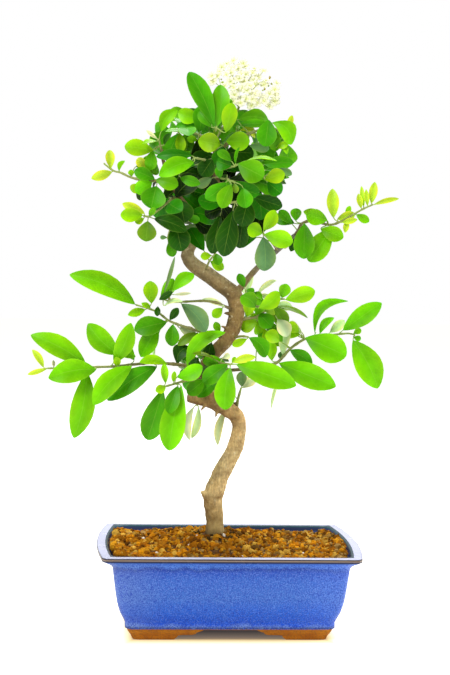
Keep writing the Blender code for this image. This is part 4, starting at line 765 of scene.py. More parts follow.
# Tones of the inner leaves, as in STEMS. The darker tones underneath the head and in its core
# are painted shade; the core is a disc of (across, up, radius)
INNER_TONES = {"head": "mnmem", "shaded_core": "mkded", "shade": "dkede", "middle": "mdon", "right": "nlpl"}
SHADE_BELOW = 345
SHADED_CORE = (-10, 362, 26)
# Bare wood in the head is covered too, between these heights and at these depths before it
WOOD_HEIGHTS = (322, 392)
WOOD_DEPTHS = (-14, -20, -9, -26, -4)


def front_view(point):
    """Where a point appears in the front view, as across and up."""
    share = -EYE.y / (point.y - EYE.y)
    return EYE.x + (point.x - EYE.x) * share, EYE.z + (point.z - EYE.z) * share


def inside(point, outline):
    x, z = point
    odd = False
    for (ax, az), (bx, bz) in zip(outline, outline[1:] + outline[:1]):
        if (az > z) != (bz > z) and x < ax + (bx - ax) * (z - az) / (bz - az):
            odd = not odd
    return odd


def light_at(zone, gap):
    if zone != "head":
        return zone
    if gap[1] < SHADE_BELOW:
        return "shade"
    return "shaded_core" if math.hypot(gap[0] - SHADED_CORE[0], gap[1] - SHADED_CORE[1]) < SHADED_CORE[2] else "head"


print("dense parts:", [crown[0] for crown in CROWNS])

# %% Look through the crown

def sight_line(point):
    return (Vector((point[0], 0, point[1])) - EYE).normalized()


def seen_through(point, shells):
    """Whether the sight line through a front-view point misses every shell."""
    way = sight_line(point)
    return not any(shell["tree"].ray_cast(EYE, way)[0] for shell in shells)


def bare_wood(point, obstacles):
    """Whether the sight line through a front-view point meets wood before any leaf."""
    way = sight_line(point)
    nearest, kind = math.inf, None
    for shell in obstacles:
        far = shell["tree"].ray_cast(EYE, way)[3]
        if far and far < nearest:
            nearest, kind = far, shell["kind"]
    return kind == "stem"


def extent(outline):
    """Lowest and highest value of an outline, across and up."""
    return [(min(values), max(values)) for values in zip(*outline)]


def grid(outline, step, heights=None):
    sides, own_heights = extent(outline)
    return [(x, z) for z in range(*(heights or own_heights), step) for x in range(*sides, step)
            if inside((x, z), outline)]


print("points looked through:", sum(len(grid(crown[1], 4)) for crown in CROWNS))

# %% Grow inner leaves
LONGEST_STALK = 26
SHORTEST_STALK = 4


def inner_leaf(point, back, length, spots, draw):
    """Leaf over a front-view point, grown from the nearest twig; None if none is near."""
    middle = sight(point[0], point[1], back)
    name, root = min(spots, key=lambda spot: (spot[1] - middle).length)
    reach = middle - root
    if reach.length > LONGEST_STALK or reach.length < SHORTEST_STALK:
        return None, None
    way = (reach.normalized() + Vector((0, 0, draw.uniform(-0.6, 0.1)))).normalized()
    tip = middle + way * length / 2
    base = middle - way * length / 2
    if reach.length < length / 2:
        base = root + way * 2.0
        tip = base + way * length
    face = front_face(base, tip, draw.uniform(0, 30))
    return name, make_leaf(root, base, tip, length * draw.uniform(0.6, 0.75), face,
                           draw.uniform(-2, 2))


def settle(name, leaf, zone, gap, draw):
    """Keep an inner leaf where it is clear, with a tone of its zone; says whether it is kept."""
    if not leaf_is_clear(name, leaf, obstacles):
        return False
    leaf["tone"] = draw.choice(INNER_TONES[light_at(zone, gap)])
    keep_leaf(name, leaf, obstacles)
    stems[name][1].append(leaf)
    return True


def fill_gap(gap, depths, crown, spots, draw):
    """Try an inner leaf over a gap at each depth; says whether one is kept."""
    zone, outline, _, lengths = crown
    for back in depths:
        name, leaf = inner_leaf(gap, back, draw.uniform(*lengths), spots, draw)
        if leaf and inside(front_view(leaf["tip"]), outline) and settle(name, leaf, zone, gap, draw):
            return True
    return False


def fill_crown(spots, blades):
    draw = random.Random("inner leaves")
    added, first = 0, len(obstacles)
    for crown in CROWNS:
        outline, depths = crown[1:3]
        gaps = [gap for gap in grid(outline, 4) if seen_through(gap, blades)]
        draw.shuffle(gaps)
        bare = [gap for gap in grid(outline, 6, WOOD_HEIGHTS) if bare_wood(gap, obstacles)]
        for gap, tries in [(g, WOOD_DEPTHS) for g in bare] + [(g, depths) for g in gaps]:
            if seen_through(gap, obstacles[first:]):
                added += fill_gap(gap, tries, crown, spots, draw)
    return added


spots = [(name, sight(*p[:3])) for name, (twigs, leaves) in stems.items()
         for twig in twigs for p in twig[1:]]
front_blades = [o for o in obstacles if o["kind"] == "blade"]
print("inner leaves:", fill_crown(spots, front_blades))

# %% [markdown]
# Leaves turned to the sides
#
# Leaves that face the front show only their edges from the side. More leaves are tried at
# random depths, turned to the left and right, and kept only behind the front ones: the plant
# is leafy from all sides, and its front view stays as it is.

# %% Leaves turned to the sides
SIDE_TRIES = 1400
SIDE_DEPTHS = (-14, 38)
SIDE_ZONES = (0, 0, 0, 1, 0, 0, 2)
LEAF_CHECKS = (0.3, 0.65, 1.0)


def behind_leaves(point, shells):
    """Whether the eye sees a leaf before it would see this point."""
    way = point - EYE
    hits = (shell["tree"].ray_cast(EYE, way.normalized())[3] for shell in shells)
    return any(far and far < way.length - 1.0 for far in hits)


def fill_sides(spots, blades):
    draw = random.Random("side leaves")
    added = 0
    for attempt in range(SIDE_TRIES):
        zone, outline, _, lengths = CROWNS[SIDE_ZONES[attempt % len(SIDE_ZONES)]]
        gap = [draw.uniform(*ends) for ends in extent(outline)]
        back, length = draw.uniform(*SIDE_DEPTHS), draw.uniform(*lengths)
        name, leaf = inner_leaf(gap, back, length, spots, draw)
        if not leaf or not inside(front_view(leaf["tip"]), outline):
            continue
        wanted = Vector((draw.choice((-1.0, 1.0)), draw.uniform(-0.5, 0.6), draw.uniform(0.0, 0.6)))
        leaf["face"] = leaf_frame(leaf["base"], leaf["tip"], wanted)[3]
        checks = (leaf["base"].lerp(leaf["tip"], q) for q in LEAF_CHECKS)
        if all(behind_leaves(point, blades) for point in checks):
            added += settle(name, leaf, zone, gap, draw)
    return added


blades = [o for o in obstacles if o["kind"] == "blade"]
print("side leaves:", fill_sides(spots, blades))

# %% [markdown]
# Materials
#
# Each finish is a Principled shader with its pattern in nodes. Patterns read Object
# coordinates, or a UV map or an attribute of the piece, so they stay on the surface from any
# side. Nodes can be laid out by hand in the shader editor; short helpers that add one node
# and link it do the same here, and keep each finish down to a page.

# %% Node helpers

def plug(tree, node, key, value):
    """Set a node's input to a value, or link it to a socket."""
    if isinstance(value, bpy.types.NodeSocket):
        tree.links.new(value, node.inputs[key])
    else:
        node.inputs[key].default_value = value


def feed(made, key, value):
    """Set or link an input of a finish."""
    plug(made.node_tree, made.node_tree.nodes["Principled BSDF"], key, value)


def new_material(name, roughness, specular=0.5):
    """Empty material with a Principled shader; gives the material and its node tree."""
    made = bpy.data.materials.new(name)
    made.use_nodes = True
    feed(made, "Roughness", roughness)
    feed(made, "Specular IOR Level", specular)
    return made, made.node_tree


def add_node(tree, kind, inputs=None, **settings):
    """Node with its settings and its inputs."""
    made = tree.nodes.new("ShaderNode" + kind)
    for key, value in settings.items():
        setattr(made, key, value)
    for key, value in (inputs or {}).items():
        plug(tree, made, key, value)
    return made


def maths(tree, operation, one, two=0.5, three=0.5, clamp=False):
    return add_node(tree, "Math", {0: one, 1: two, 2: three}, operation=operation,
                    use_clamp=clamp).outputs[0]


def span(tree, value, start, end, low=0.0, high=1.0):
    """Number that runs from low to high while a value runs from start to end."""
    return add_node(tree, "MapRange", {"Value": value, "From Min": start, "From Max": end,
                                       "To Min": low, "To Max": high}).outputs[0]


def axes(tree, vector):
    return add_node(tree, "SeparateXYZ", {"Vector": vector}).outputs


def object_point(tree, scale=(1, 1, 1)):
    """Object coordinates, stretched."""
    where = add_node(tree, "TexCoord").outputs["Object"]
    return add_node(tree, "Mapping", {"Vector": where, "Scale": scale}).outputs["Vector"]


def from_pot(tree, point):
    return add_node(tree, "VectorMath", {0: point, 1: tuple(-POT_CENTRE)}, operation="ADD").outputs[0]


print("pattern origin:", [round(c, 4) for c in POT_CENTRE])

# %% Colour helpers

def solid(colour):
    """Colour with its alpha; a socket stays as it is."""
    return (*colour, 1.0) if isinstance(colour, tuple) else colour


def ramp(tree, factor, stops):
    made = add_node(tree, "ValToRGB", {"Fac": factor})
    while len(made.color_ramp.elements) < len(stops):
        made.color_ramp.elements.new(0.5)
    for element, (position, colour) in zip(made.color_ramp.elements, stops):
        element.position = position
        element.color = solid(colour)
    return made.outputs["Color"]


def mix(tree, factor, one, two, blend="MIX"):
    return add_node(tree, "Mix", {0: factor, 6: solid(one), 7: solid(two)},
                    data_type="RGBA", blend_type=blend).outputs[2]


def stain(tree, colour, mask, tone, amount=1.0):
    """Lay a tone over a colour where a mask lets it, at most by amount."""
    return mix(tree, maths(tree, "MULTIPLY", mask, amount), colour, tone)


def shade(tree, colour, factor, stops):
    """Darken or lighten a colour by a ramp over a factor."""
    return mix(tree, 1.0, colour, ramp(tree, factor, stops), "MULTIPLY")


def attribute_colour(tree, layer):
    return add_node(tree, "VertexColor", layer_name=layer).outputs["Color"]


def noise_mask(tree, vector, scale, detail=3.0, rough=0.55):
    return add_node(tree, "TexNoise", {"Vector": vector, "Scale": scale, "Detail": detail,
                                       "Roughness": rough}).outputs["Fac"]


def finish(made, colour, height, strength, distance):
    relief = add_node(made.node_tree, "Bump", {"Height": height, "Strength": strength,
                                               "Distance": distance})
    feed(made, "Base Color", colour)
    feed(made, "Normal", relief.outputs["Normal"])
    return made


def socket_group(name, inputs, outputs):
    """Node group with named sockets; gives the group and its two end nodes."""
    group = bpy.data.node_groups.new(name, "ShaderNodeTree")
    for sockets, in_out in ((inputs, "INPUT"), (outputs, "OUTPUT")):
        for label, kind in sockets:
            group.interface.new_socket(label, in_out=in_out, socket_type="NodeSocket" + kind)
    return group, group.nodes.new("NodeGroupInput").outputs, group.nodes.new("NodeGroupOutput")


def use_group(tree, group, inputs):
    return add_node(tree, "Group", inputs, node_tree=group).outputs


print("alpha is added:", solid((0.5, 0.5, 0.5)))

# %% [markdown]
# Speckle group
#
# The glaze, the bare clay and the soil grains all have fine flecks. Plain noise would spread
# them evenly, so the group gives small flecks and, beside them, a larger cloud with which a
# finish can be broken up. It is a group because several finishes use it with other values.

# %% Speckle group

def make_speckle():
    group, start, end = socket_group(
        "Speckle", [("Vector", "Vector"), ("Fleck Scale", "Float"), ("Cloud Scale", "Float"),
                    ("Amount", "Float")], [("Flecks", "Float"), ("Cloud", "Float")])
    fleck, cloud = (add_node(group, "TexNoise", {"Vector": start["Vector"], "Scale": start[scale],
                                                 "Detail": detail}).outputs["Fac"]
                    for scale, detail in (("Fleck Scale", 2.0), ("Cloud Scale", 3.0)))
    weight = maths(group, "MULTIPLY", span(group, fleck, 0.46, 0.62), start["Amount"])
    group.links.new(weight, end.inputs["Flecks"])
    group.links.new(cloud, end.inputs["Cloud"])
    return group


SPECKLE = make_speckle()


def speckle(tree, vector, fleck_scale, cloud_scale, amount):
    return use_group(tree, SPECKLE, {"Vector": vector, "Fleck Scale": fleck_scale,
                                     "Cloud Scale": cloud_scale, "Amount": amount})


print("groups:", [group.name for group in bpy.data.node_groups])

# %% [markdown]
# Leaf vein group
#
# A firethorn leaf has a pale midrib and fine side veins that run forward to the margin. They
# could be modelled, but hundreds of blades would grow heavy. The group draws them from the
# blade's UV map: U is 0.5 on the midrib and V runs from stalk to tip.

# %% Leaf vein group
VEIN_SLANT = 1.7


def make_veins():
    group, start, end = socket_group(
        "Leaf veins", [("UV", "Vector"), ("Side Veins", "Float")],
        [("Midrib", "Float"), ("Veins", "Float"), ("Margin", "Float")])
    parts = axes(group, start["UV"])
    across = maths(group, "ABSOLUTE", maths(group, "MULTIPLY_ADD", parts["X"], 2.0, -1.0))
    rib_width = maths(group, "MULTIPLY_ADD", parts["Y"], -0.03, 0.055)
    rib = maths(group, "SUBTRACT", 1.0, maths(group, "DIVIDE", across, rib_width), clamp=True)
    path = maths(group, "SUBTRACT", maths(group, "MULTIPLY", parts["Y"], start["Side Veins"]),
                 maths(group, "MULTIPLY", across, VEIN_SLANT))
    vein = span(group, maths(group, "PINGPONG", path, 0.5), 0.09, 0.0)
    fade = span(group, across, 1.0, 0.6)
    group.links.new(rib, end.inputs["Midrib"])
    group.links.new(maths(group, "MULTIPLY", vein, fade), end.inputs["Veins"])
    group.links.new(span(group, across, 0.86, 1.0), end.inputs["Margin"])
    return group


VEINS = make_veins()
print("vein outputs:", [item.name for item in VEINS.interface.items_tree if item.in_out == "OUTPUT"])

# %% [markdown]
# Leaf finish
#
# Light shines through the young leaves, so no two have the same green. One material for each
# green would do, but the colour is given leaf by leaf in an attribute instead, and the nodes
# add the midrib, the side veins, a thin pale margin, which is painted light shining through
# the thin edge, and soft blotches to all of them.

# %% Leaf finish
SIDE_VEINS = 8.0
LEAF_PALE = (0.5, 0.78, 0.1)
LEAF_DULL = (0.26, 0.4, 0.14)
# For each face: roughness from and to, and the midrib's relief (sunk above, raised below)
UPPER_FACE = (0.26, 0.46, -0.3)
UNDERSIDE = (0.5, 0.75, 0.5)


def leaf_material(name, face, dull=0.0):
    smoothest, roughest, relief = face
    made, tree = new_material(name, smoothest, 0.11)
    colour = attribute_colour(tree, "leaf_colour")
    uv = add_node(tree, "UVMap", uv_map="blade").outputs["UV"]
    veins = use_group(tree, VEINS, {"UV": uv, "Side Veins": SIDE_VEINS})
    cloud = noise_mask(tree, object_point(tree), 130.0)
    blotch = span(tree, cloud, 0.3, 0.7, 0.88, 1.08)
    grey = add_node(tree, "CombineColor", {0: blotch, 1: blotch, 2: blotch}).outputs[0]
    colour = mix(tree, 1.0, colour, grey, "MULTIPLY")
    if dull:
        colour = mix(tree, dull, colour, LEAF_DULL)
    pale = mix(tree, 0.35, colour, LEAF_PALE)
    # The pale margin is painted light, as if the thin edge were lit through.
    for part, amount in (("Veins", 0.14), ("Margin", 0.3), ("Midrib", 0.62)):
        colour = stain(tree, colour, veins[part], pale, amount)
    feed(made, "Roughness", span(tree, cloud, 0.0, 1.0, smoothest, roughest))
    return finish(made, colour, veins["Midrib"], relief, 0.0004)


LEAF_TOP = leaf_material("leaf_upper_face", UPPER_FACE)
LEAF_UNDER = leaf_material("leaf_underside", UNDERSIDE, 0.22)
print("leaf finishes:", LEAF_TOP.name, LEAF_UNDER.name)

# %% [markdown]
# Twig and bark finishes
#
# Young twigs are green turning brown. The old wood is tan low down and browner higher up,
# with fine lengthwise cracks, pale patches, and a green tinge and a darker foot near the soil.
# A photo texture would bring all that at once, but not where this trunk has it, so each
# effect is a mask of its own, laid on in the order in which it grows on real bark. Last comes
# painted light and shade: wood turned down darker, wood turned up and to the right paler.

# %% Twig finish
TWIG_SHADOW = (0.12, 0.07, 0.03)


def twig_material():
    made, tree = new_material("twig_bark", 0.6)
    cloud = noise_mask(tree, object_point(tree), 300.0)
    colour = stain(tree, attribute_colour(tree, "leaf_colour"), cloud, TWIG_SHADOW, 0.35)
    return finish(made, colour, cloud, 0.4, 0.0003)


TWIG = twig_material()
print("twig finish:", len(TWIG.node_tree.nodes), "nodes")

# %% Bark finish
# Colours up the trunk, between these two heights in metres
BARK_HEIGHTS = (0.07, 0.34)
BARK_BANDS = [
    (0.0, (0.6, 0.41, 0.16)), (0.22, (0.68, 0.52, 0.25)), (0.34, (0.52, 0.34, 0.14)),
    (0.42, (0.36, 0.2, 0.075)), (0.56, (0.34, 0.21, 0.08)), (0.64, (0.3, 0.19, 0.06)),
    (0.72, (0.28, 0.19, 0.07)), (0.8, (0.45, 0.35, 0.18)), (1.0, (0.28, 0.19, 0.085))]
PATCHES = [(0.35, (0.72, 0.7, 0.66)), (0.62, (1.15, 1.12, 1.05))]
MOTTLE = [(0.36, (0.8, 0.72, 0.64)), (0.5, (1.0, 1.0, 1.0)), (0.66, (1.22, 1.26, 1.34))]
STREAKS = [(0.38, (0.86, 0.84, 0.8)), (0.62, (1.1, 1.1, 1.09))]
CRACK_MASK = [(0.36, (0.0, 0.0, 0.0)), (0.52, (1.0, 1.0, 1.0))]
LICHEN_MASK = [(0.62, (0.0, 0.0, 0.0)), (0.72, (0.7, 0.7, 0.7))]
# Tones of cracks, lichen, the weathered branch, the old cut, moss and the darker foot
CRACK, LICHEN, WEATHERED = (0.17, 0.1, 0.045), (0.62, 0.52, 0.3), (0.15, 0.14, 0.14)
OLD_CUT, MOSS, DARKER_FOOT = (0.22, 0.17, 0.03), (0.3, 0.26, 0.07), (0.17, 0.11, 0.03)
CUT_CENTRE = (-12.0, 102.5, -7.0)
# Painted light and shade: wood turned down is darker, and wood turned up and to the right is paler
PAINTED_WOOD_LIGHT = [(0.0, (0.5, 0.46, 0.4)), (0.3, (0.84, 0.82, 0.78)), (0.5, (0.98, 0.98, 0.98)),
              (0.8, (1.22, 1.24, 1.28)), (1.0, (1.34, 1.37, 1.44))]


def bark_material():
    made, tree = new_material("old_bark", 0.85)
    point = object_point(tree)
    at = axes(tree, point)
    cracks = noise_mask(tree, object_point(tree, (1.0, 1.0, 0.28)), 520.0, 5.0, 0.65)
    patches = noise_mask(tree, point, 110.0)
    colour = ramp(tree, span(tree, at["Z"], *BARK_HEIGHTS), BARK_BANDS)
    colour = shade(tree, colour, patches, PATCHES)
    between = maths(tree, "SUBTRACT", 1.0, ramp(tree, cracks, CRACK_MASK))
    colour = stain(tree, colour, between, CRACK, 0.3)
    colour = mix(tree, ramp(tree, noise_mask(tree, point, 260.0, 2.0), LICHEN_MASK), colour, LICHEN)
    streaks = noise_mask(tree, object_point(tree, (1.0, 1.0, 0.1)), 900.0)
    colour = mix(tree, span(tree, at["Z"], 0.165, 0.145), colour,
                 shade(tree, colour, streaks, STREAKS))
    colour = shade(tree, colour, noise_mask(tree, point, 420.0, 5.0, 0.7), MOTTLE)
    colour = stain(tree, colour, span(tree, at["X"], 0.029, 0.036), WEATHERED, 0.8)
    from_cut = add_node(tree, "VectorMath", {0: point, 1: tuple(place(sight(*CUT_CENTRE)))},
                        operation="DISTANCE").outputs["Value"]
    colour = stain(tree, colour, span(tree, from_cut, 0.0052, 0.003), OLD_CUT, 0.65)
    mossy = maths(tree, "MULTIPLY", span(tree, at["Z"], 0.105, 0.07), patches)
    colour = stain(tree, colour, mossy, MOSS, 0.7)
    # Darker towards the foot, near the soil.
    colour = mix(tree, span(tree, at["Z"], 0.092, 0.066, 0.0, 0.85), colour, DARKER_FOOT)
    # Painted light and shade by the way the wood faces.
    turned = axes(tree, add_node(tree, "NewGeometry").outputs["Normal"])
    sunny = maths(tree, "MULTIPLY_ADD", turned["X"], 0.7, turned["Z"])
    colour = shade(tree, colour, span(tree, sunny, -0.8, 0.8), PAINTED_WOOD_LIGHT)
    return finish(made, colour, cracks, 0.7, 0.0009)


BARK = bark_material()
print("bark finish:", len(BARK.node_tree.nodes), "nodes")

# %% [markdown]
# The glaze
#
# Glaze runs while it is fired: it is thin and pale on the rim, pools to a deep cobalt under
# the rim and low down, and stops above the feet, where a dark line of painted shadow is laid.
# Height decides all of that, so the glaze is one ramp over height whose levels wander a
# little, with the lip's fine lines in a second ramp, and two sizes of flecks. The short ends
# get a paler painted sheen, and the inside of the pot a darker painted shade. Painting it on
# the mesh would need far more faces.

# %% Glaze finish
# Heights in metres: where the glaze begins, the neck under the rim, where the lip's own lines
# begin, the top of the flecked body, the rim's top, the start of the inside, and the painted
# shadow line above the feet
GLAZE_FOOT, NECK, LIP_START, BODY_TOP, RIM_TOP = 0.0087, 0.06, 0.0602, 0.0625, 0.0668
INSIDE_START = 0.0596
FOOT_SHADOW_LINE = (0.0118, 0.0102)
GLAZE_LEVELS = [
    (0.0, (0.2, 0.32, 0.72)), (0.04, (0.14, 0.26, 0.7)), (0.09, (0.002, 0.085, 0.7)),
    (0.22, (0.006, 0.112, 0.68)), (0.5, (0.046, 0.16, 0.57)), (0.78, (0.034, 0.138, 0.56)),
    (0.9, (0.018, 0.09, 0.52)), (0.945, (0.008, 0.045, 0.32)), (0.97, (0.05, 0.17, 0.62)),
    (1.0, (0.09, 0.25, 0.76))]
LIP_LINES = [
    (0.0, (0.09, 0.25, 0.76)), (0.36, (0.06, 0.18, 0.64)), (0.45, (0.02, 0.05, 0.22)),
    (0.53, (0.02, 0.02, 0.05)), (0.63, (0.03, 0.03, 0.06)), (0.69, (0.3, 0.22, 0.17)),
    (0.76, (0.26, 0.18, 0.13)), (0.81, (0.03, 0.02, 0.02)), (0.91, (0.05, 0.045, 0.08)),
    (0.94, (0.6, 0.62, 0.82)), (1.0, (0.68, 0.7, 0.88))]
# Darker tones inside the pot: painted shade in the recess under the rim
INSIDE_SHADE_LEVELS = [(0.0, (0.018, 0.03, 0.09)), (0.7, (0.03, 0.05, 0.14)),
                 (0.85, (0.03, 0.1, 0.12)), (1.0, (0.06, 0.07, 0.1))]
# Painted sheen at the short ends, where the glaze is paler as if light were reflected: from x, to x,
# tone
PAINTED_SHEEN_ENDS = [(-0.05, -0.088, (0.2, 0.26, 0.5)), (0.05, 0.088, (0.13, 0.25, 0.86))]
FOOT_SHADOW_TONE, PALE_FLECK, DEEP_FLECK = (0.012, 0.016, 0.06), (0.2, 0.34, 0.8), (0.015, 0.05, 0.42)
# The opening: its half length in the middle, how much less at the corners, and its half width
OPENING = (0.0968, 0.0065, 0.0684)
RIM_DEPTH = 0.075


def opening_mask(tree, sides, height):
    """1 inside the rim, where painted shade darkens the glaze, and 0 outside it."""
    half_x, bow, half_y = OPENING
    depth = maths(tree, "DIVIDE", sides["Y"], RIM_DEPTH)
    reach = maths(tree, "MULTIPLY_ADD", maths(tree, "MULTIPLY", depth, depth), -bow, half_x)
    within_x = maths(tree, "LESS_THAN", maths(tree, "ABSOLUTE", sides["X"]), reach)
    within_y = maths(tree, "LESS_THAN", maths(tree, "ABSOLUTE", sides["Y"]), half_y)
    return maths(tree, "MULTIPLY", maths(tree, "MULTIPLY", within_x, within_y),
                 maths(tree, "GREATER_THAN", height, INSIDE_START))


def glaze_material():
    made, tree = new_material("blue_speckled_glaze", 0.25, 0.25)
    point = object_point(tree)
    height = axes(tree, point)["Z"]
    sides = axes(tree, from_pot(tree, point))
    drips = noise_mask(tree, object_point(tree, (1.0, 1.0, 0.15)), 60.0, 2.0)
    wander = maths(tree, "MULTIPLY_ADD", maths(tree, "SUBTRACT", drips, 0.5), 0.01, height)
    rim = span(tree, height, NECK, RIM_TOP)
    base = ramp(tree, span(tree, wander, GLAZE_FOOT, NECK), GLAZE_LEVELS)
    base = mix(tree, maths(tree, "GREATER_THAN", height, LIP_START), base, ramp(tree, rim, LIP_LINES))
    body = maths(tree, "LESS_THAN", height, BODY_TOP)
    # Painted sheen: the short ends paler, as where light is reflected.
    for near, far, tone in PAINTED_SHEEN_ENDS:
        base = stain(tree, base, span(tree, sides["X"], near, far, 0.0, 0.4), tone, body)
    # Painted shadow: a dark line where the glaze meets the feet.
    base = mix(tree, span(tree, height, *FOOT_SHADOW_LINE, 0.0, 0.85), base, FOOT_SHADOW_TONE)
    # Painted shade: the inside of the pot darker than its glaze.
    base = mix(tree, opening_mask(tree, sides, height), base, ramp(tree, rim, INSIDE_SHADE_LEVELS))
    fleck = speckle(tree, point, 1250.0, 60.0, 0.9)
    colour = stain(tree, base, fleck["Flecks"], mix(tree, 0.5, base, PALE_FLECK), body)
    fine = speckle(tree, object_point(tree, (1.3, 1.3, 1.3)), 900.0, 40.0, 0.85)
    colour = stain(tree, colour, fine["Flecks"], DEEP_FLECK, body)
    feed(made, "Roughness", span(tree, fleck["Cloud"], 0.0, 1.0, 0.16, 0.34))
    return finish(made, colour, fleck["Flecks"], 0.12, 0.0003)


GLAZE = glaze_material()
print("glaze finish:", len(GLAZE.node_tree.nodes), "nodes")

# %% [markdown]
# Clay, plastic and soil
#
# Bare clay, mesh plastic and the dark bed, whose dark is painted shade between the grains,
# differ only in tone, relief and size of pattern, so one recipe makes the last two. Grains and
# petals differ in colour from one to the next, so each carries its own in an attribute, and
# one more recipe lays flecks over it and gives the petals a little painted glow.

# %% Clay, plastic and bed finishes
CLAY_TONES = [(0.3, (0.46, 0.135, 0.002)), (0.7, (0.64, 0.225, 0.005))]
CLAY_FLECK = (0.32, 0.11, 0.012)
PLASTIC_TONES = [(0.3, (0.012, 0.012, 0.013)), (0.7, (0.03, 0.03, 0.032))]
# Dark tones of the bed: painted shade in the gaps between the grains.
BED_TONES = [(0.35, (0.04, 0.014, 0.002)), (0.7, (0.14, 0.055, 0.006))]


def clay_material():
    made, tree = new_material("bare_red_clay", 0.85)
    fleck = speckle(tree, object_point(tree), 700.0, 90.0, 0.6)
    colour = mix(tree, fleck["Flecks"], ramp(tree, fleck["Cloud"], CLAY_TONES), CLAY_FLECK)
    return finish(made, colour, fleck["Flecks"], 0.3, 0.0003)


def cloudy_material(name, roughness, scale, detail, tones, strength, relief):
    made, tree = new_material(name, roughness)
    cloud = noise_mask(tree, object_point(tree), scale, detail)
    return finish(made, ramp(tree, cloud, tones), cloud, strength, relief)


CLAY = clay_material()
PLASTIC = cloudy_material("black_mesh_plastic", 0.55, 500.0, 3.0, PLASTIC_TONES, 0.2, 0.0002)
BED = cloudy_material("soil_bed_shade", 1.0, 420.0, 4.0, BED_TONES, 0.8, 0.002)
print("finishes:", CLAY.name, PLASTIC.name, BED.name)

# %% Grain and petal finishes

def attribute_material(name, layer, roughness, fleck_scale, fleck_colour, amount, relief, painted_glow=0.0):
    """Finish whose colour comes from an attribute, with flecks over it and, where given, a little
    painted glow.
    """
    made, tree = new_material(name, roughness, 0.05)
    fleck = speckle(tree, object_point(tree), fleck_scale, fleck_scale / 6, amount)
    colour = mix(tree, fleck["Flecks"], attribute_colour(tree, layer), fleck_colour)
    # Painted light: the finish glows a little, as thin petals lit through.
    if painted_glow:
        feed(made, "Emission Color", colour)
        feed(made, "Emission Strength", painted_glow)
    return finish(made, colour, fleck["Cloud"], 0.5, relief)


GRAIN = attribute_material("baked_clay_grain", "grain_colour", 0.95, 1500.0, (0.16, 0.07, 0.012),
                           0.45, 0.0006)
PETAL = attribute_material("cream_petal", "petal_colour", 0.65, 900.0, (0.8, 0.78, 0.55), 0.25,
                           0.0002, 0.1)
print("materials:", len(bpy.data.materials))

# %% [markdown]
# The pot
#
# A fired pot has no sharp edge: its wall swells from the foot, turns out under a flat rim and
# comes back down inside. A box with bevels would give its size but not its swell, and a spin
# makes only round pots. So one ring is pulled up and over through the profile, step by step,
# and the short ends of the rim are then bowed outwards.

# %% Pot sizes
RIM_HALF = (97.0, 75.0)
RIM_BOW = 6.5
BODY_BOW = 1.0
CORNER = 7.0
RIM_CORNER = 3.0
RIM_WIDTH = 7.0
RING = 144
# (inset from the rim, height) up the outside, over the lip and down the inside to the floor
POT_PROFILE = [
    (17.9, 7.3), (17.2, 7.8), (17.1, 12.3), (16.6, 13.4), (15.8, 15.3), (14.6, 17.8), (13.4, 20.3),
    (12.2, 24.0), (11.0, 28.5), (9.9, 34.5), (9.0, 41.0), (8.1, 48.0), (7.4, 53.5), (7.0, 56.0),
    (6.2, 57.6), (4.7, 59.0), (2.6, 60.4), (1.0, 61.4), (0.35, 61.9), (0.05, 62.3), (0.0, 63.0),
    (0.0, 64.2), (0.12, 64.7), (0.5, 64.95), (1.2, 65.0), (4.5, 65.1), (7.6, 65.0), (8.3, 64.8),
    (8.8, 64.2), (9.4, 63.0), (10.4, 60.5), (11.6, 57.5), (12.8, 54.5), (14.2, 46.0), (15.4, 38.0),
    (17.2, 29.0), (19.5, 20.0), (21.2, 15.5), (23.6, 13.6)]


def outline_legs(x, y, radius):
    """Sides and corners of a rounded rectangle, from the middle of its right side.

    A leg is its length, its start and its way. A corner's start is its centre, and its way is
    how many quarter turns come before it.
    """
    right, top, arc = x + radius, y + radius, math.pi / 2 * radius
    return [(y, (right, 0), (0, 1)), (arc, (x, y), 0),
            (2 * x, (x, top), (-1, 0)), (arc, (-x, y), 1),
            (2 * y, (-right, y), (0, -1)), (arc, (-x, -y), 2),
            (2 * x, (-x, -top), (1, 0)), (arc, (x, -y), 3),
            (y, (right, -y), (0, 1))]


def outline_point(legs, run, radius):
    for length, (x, y), way in legs:
        if run <= length:
            break
        run -= length
    if isinstance(way, tuple):
        return x + way[0] * run, y + way[1] * run
    angle = run / radius + way * math.pi / 2
    return x + radius * math.cos(angle), y + radius * math.sin(angle)


def rounded_rectangle(ring, half, radius):
    """Shape the vertices of a ring into a rounded rectangle; their heights stay."""
    legs = outline_legs(half[0] - radius, half[1] - radius, radius)
    total = sum(leg[0] for leg in legs)
    for index, vert in enumerate(ring):
        spot = place((*outline_point(legs, total * index / len(ring), radius), 0.0))
        vert.co = (spot.x, spot.y, vert.co.z)


print("profile steps:", len(POT_PROFILE))

# %% Pull the pot's wall through its profile

def corner_radius(inset):
    return RIM_CORNER + (CORNER - RIM_CORNER) * min(1.0, inset / RIM_WIDTH)


def half_sizes(inset):
    return RIM_HALF[0] - inset, RIM_HALF[1] - inset


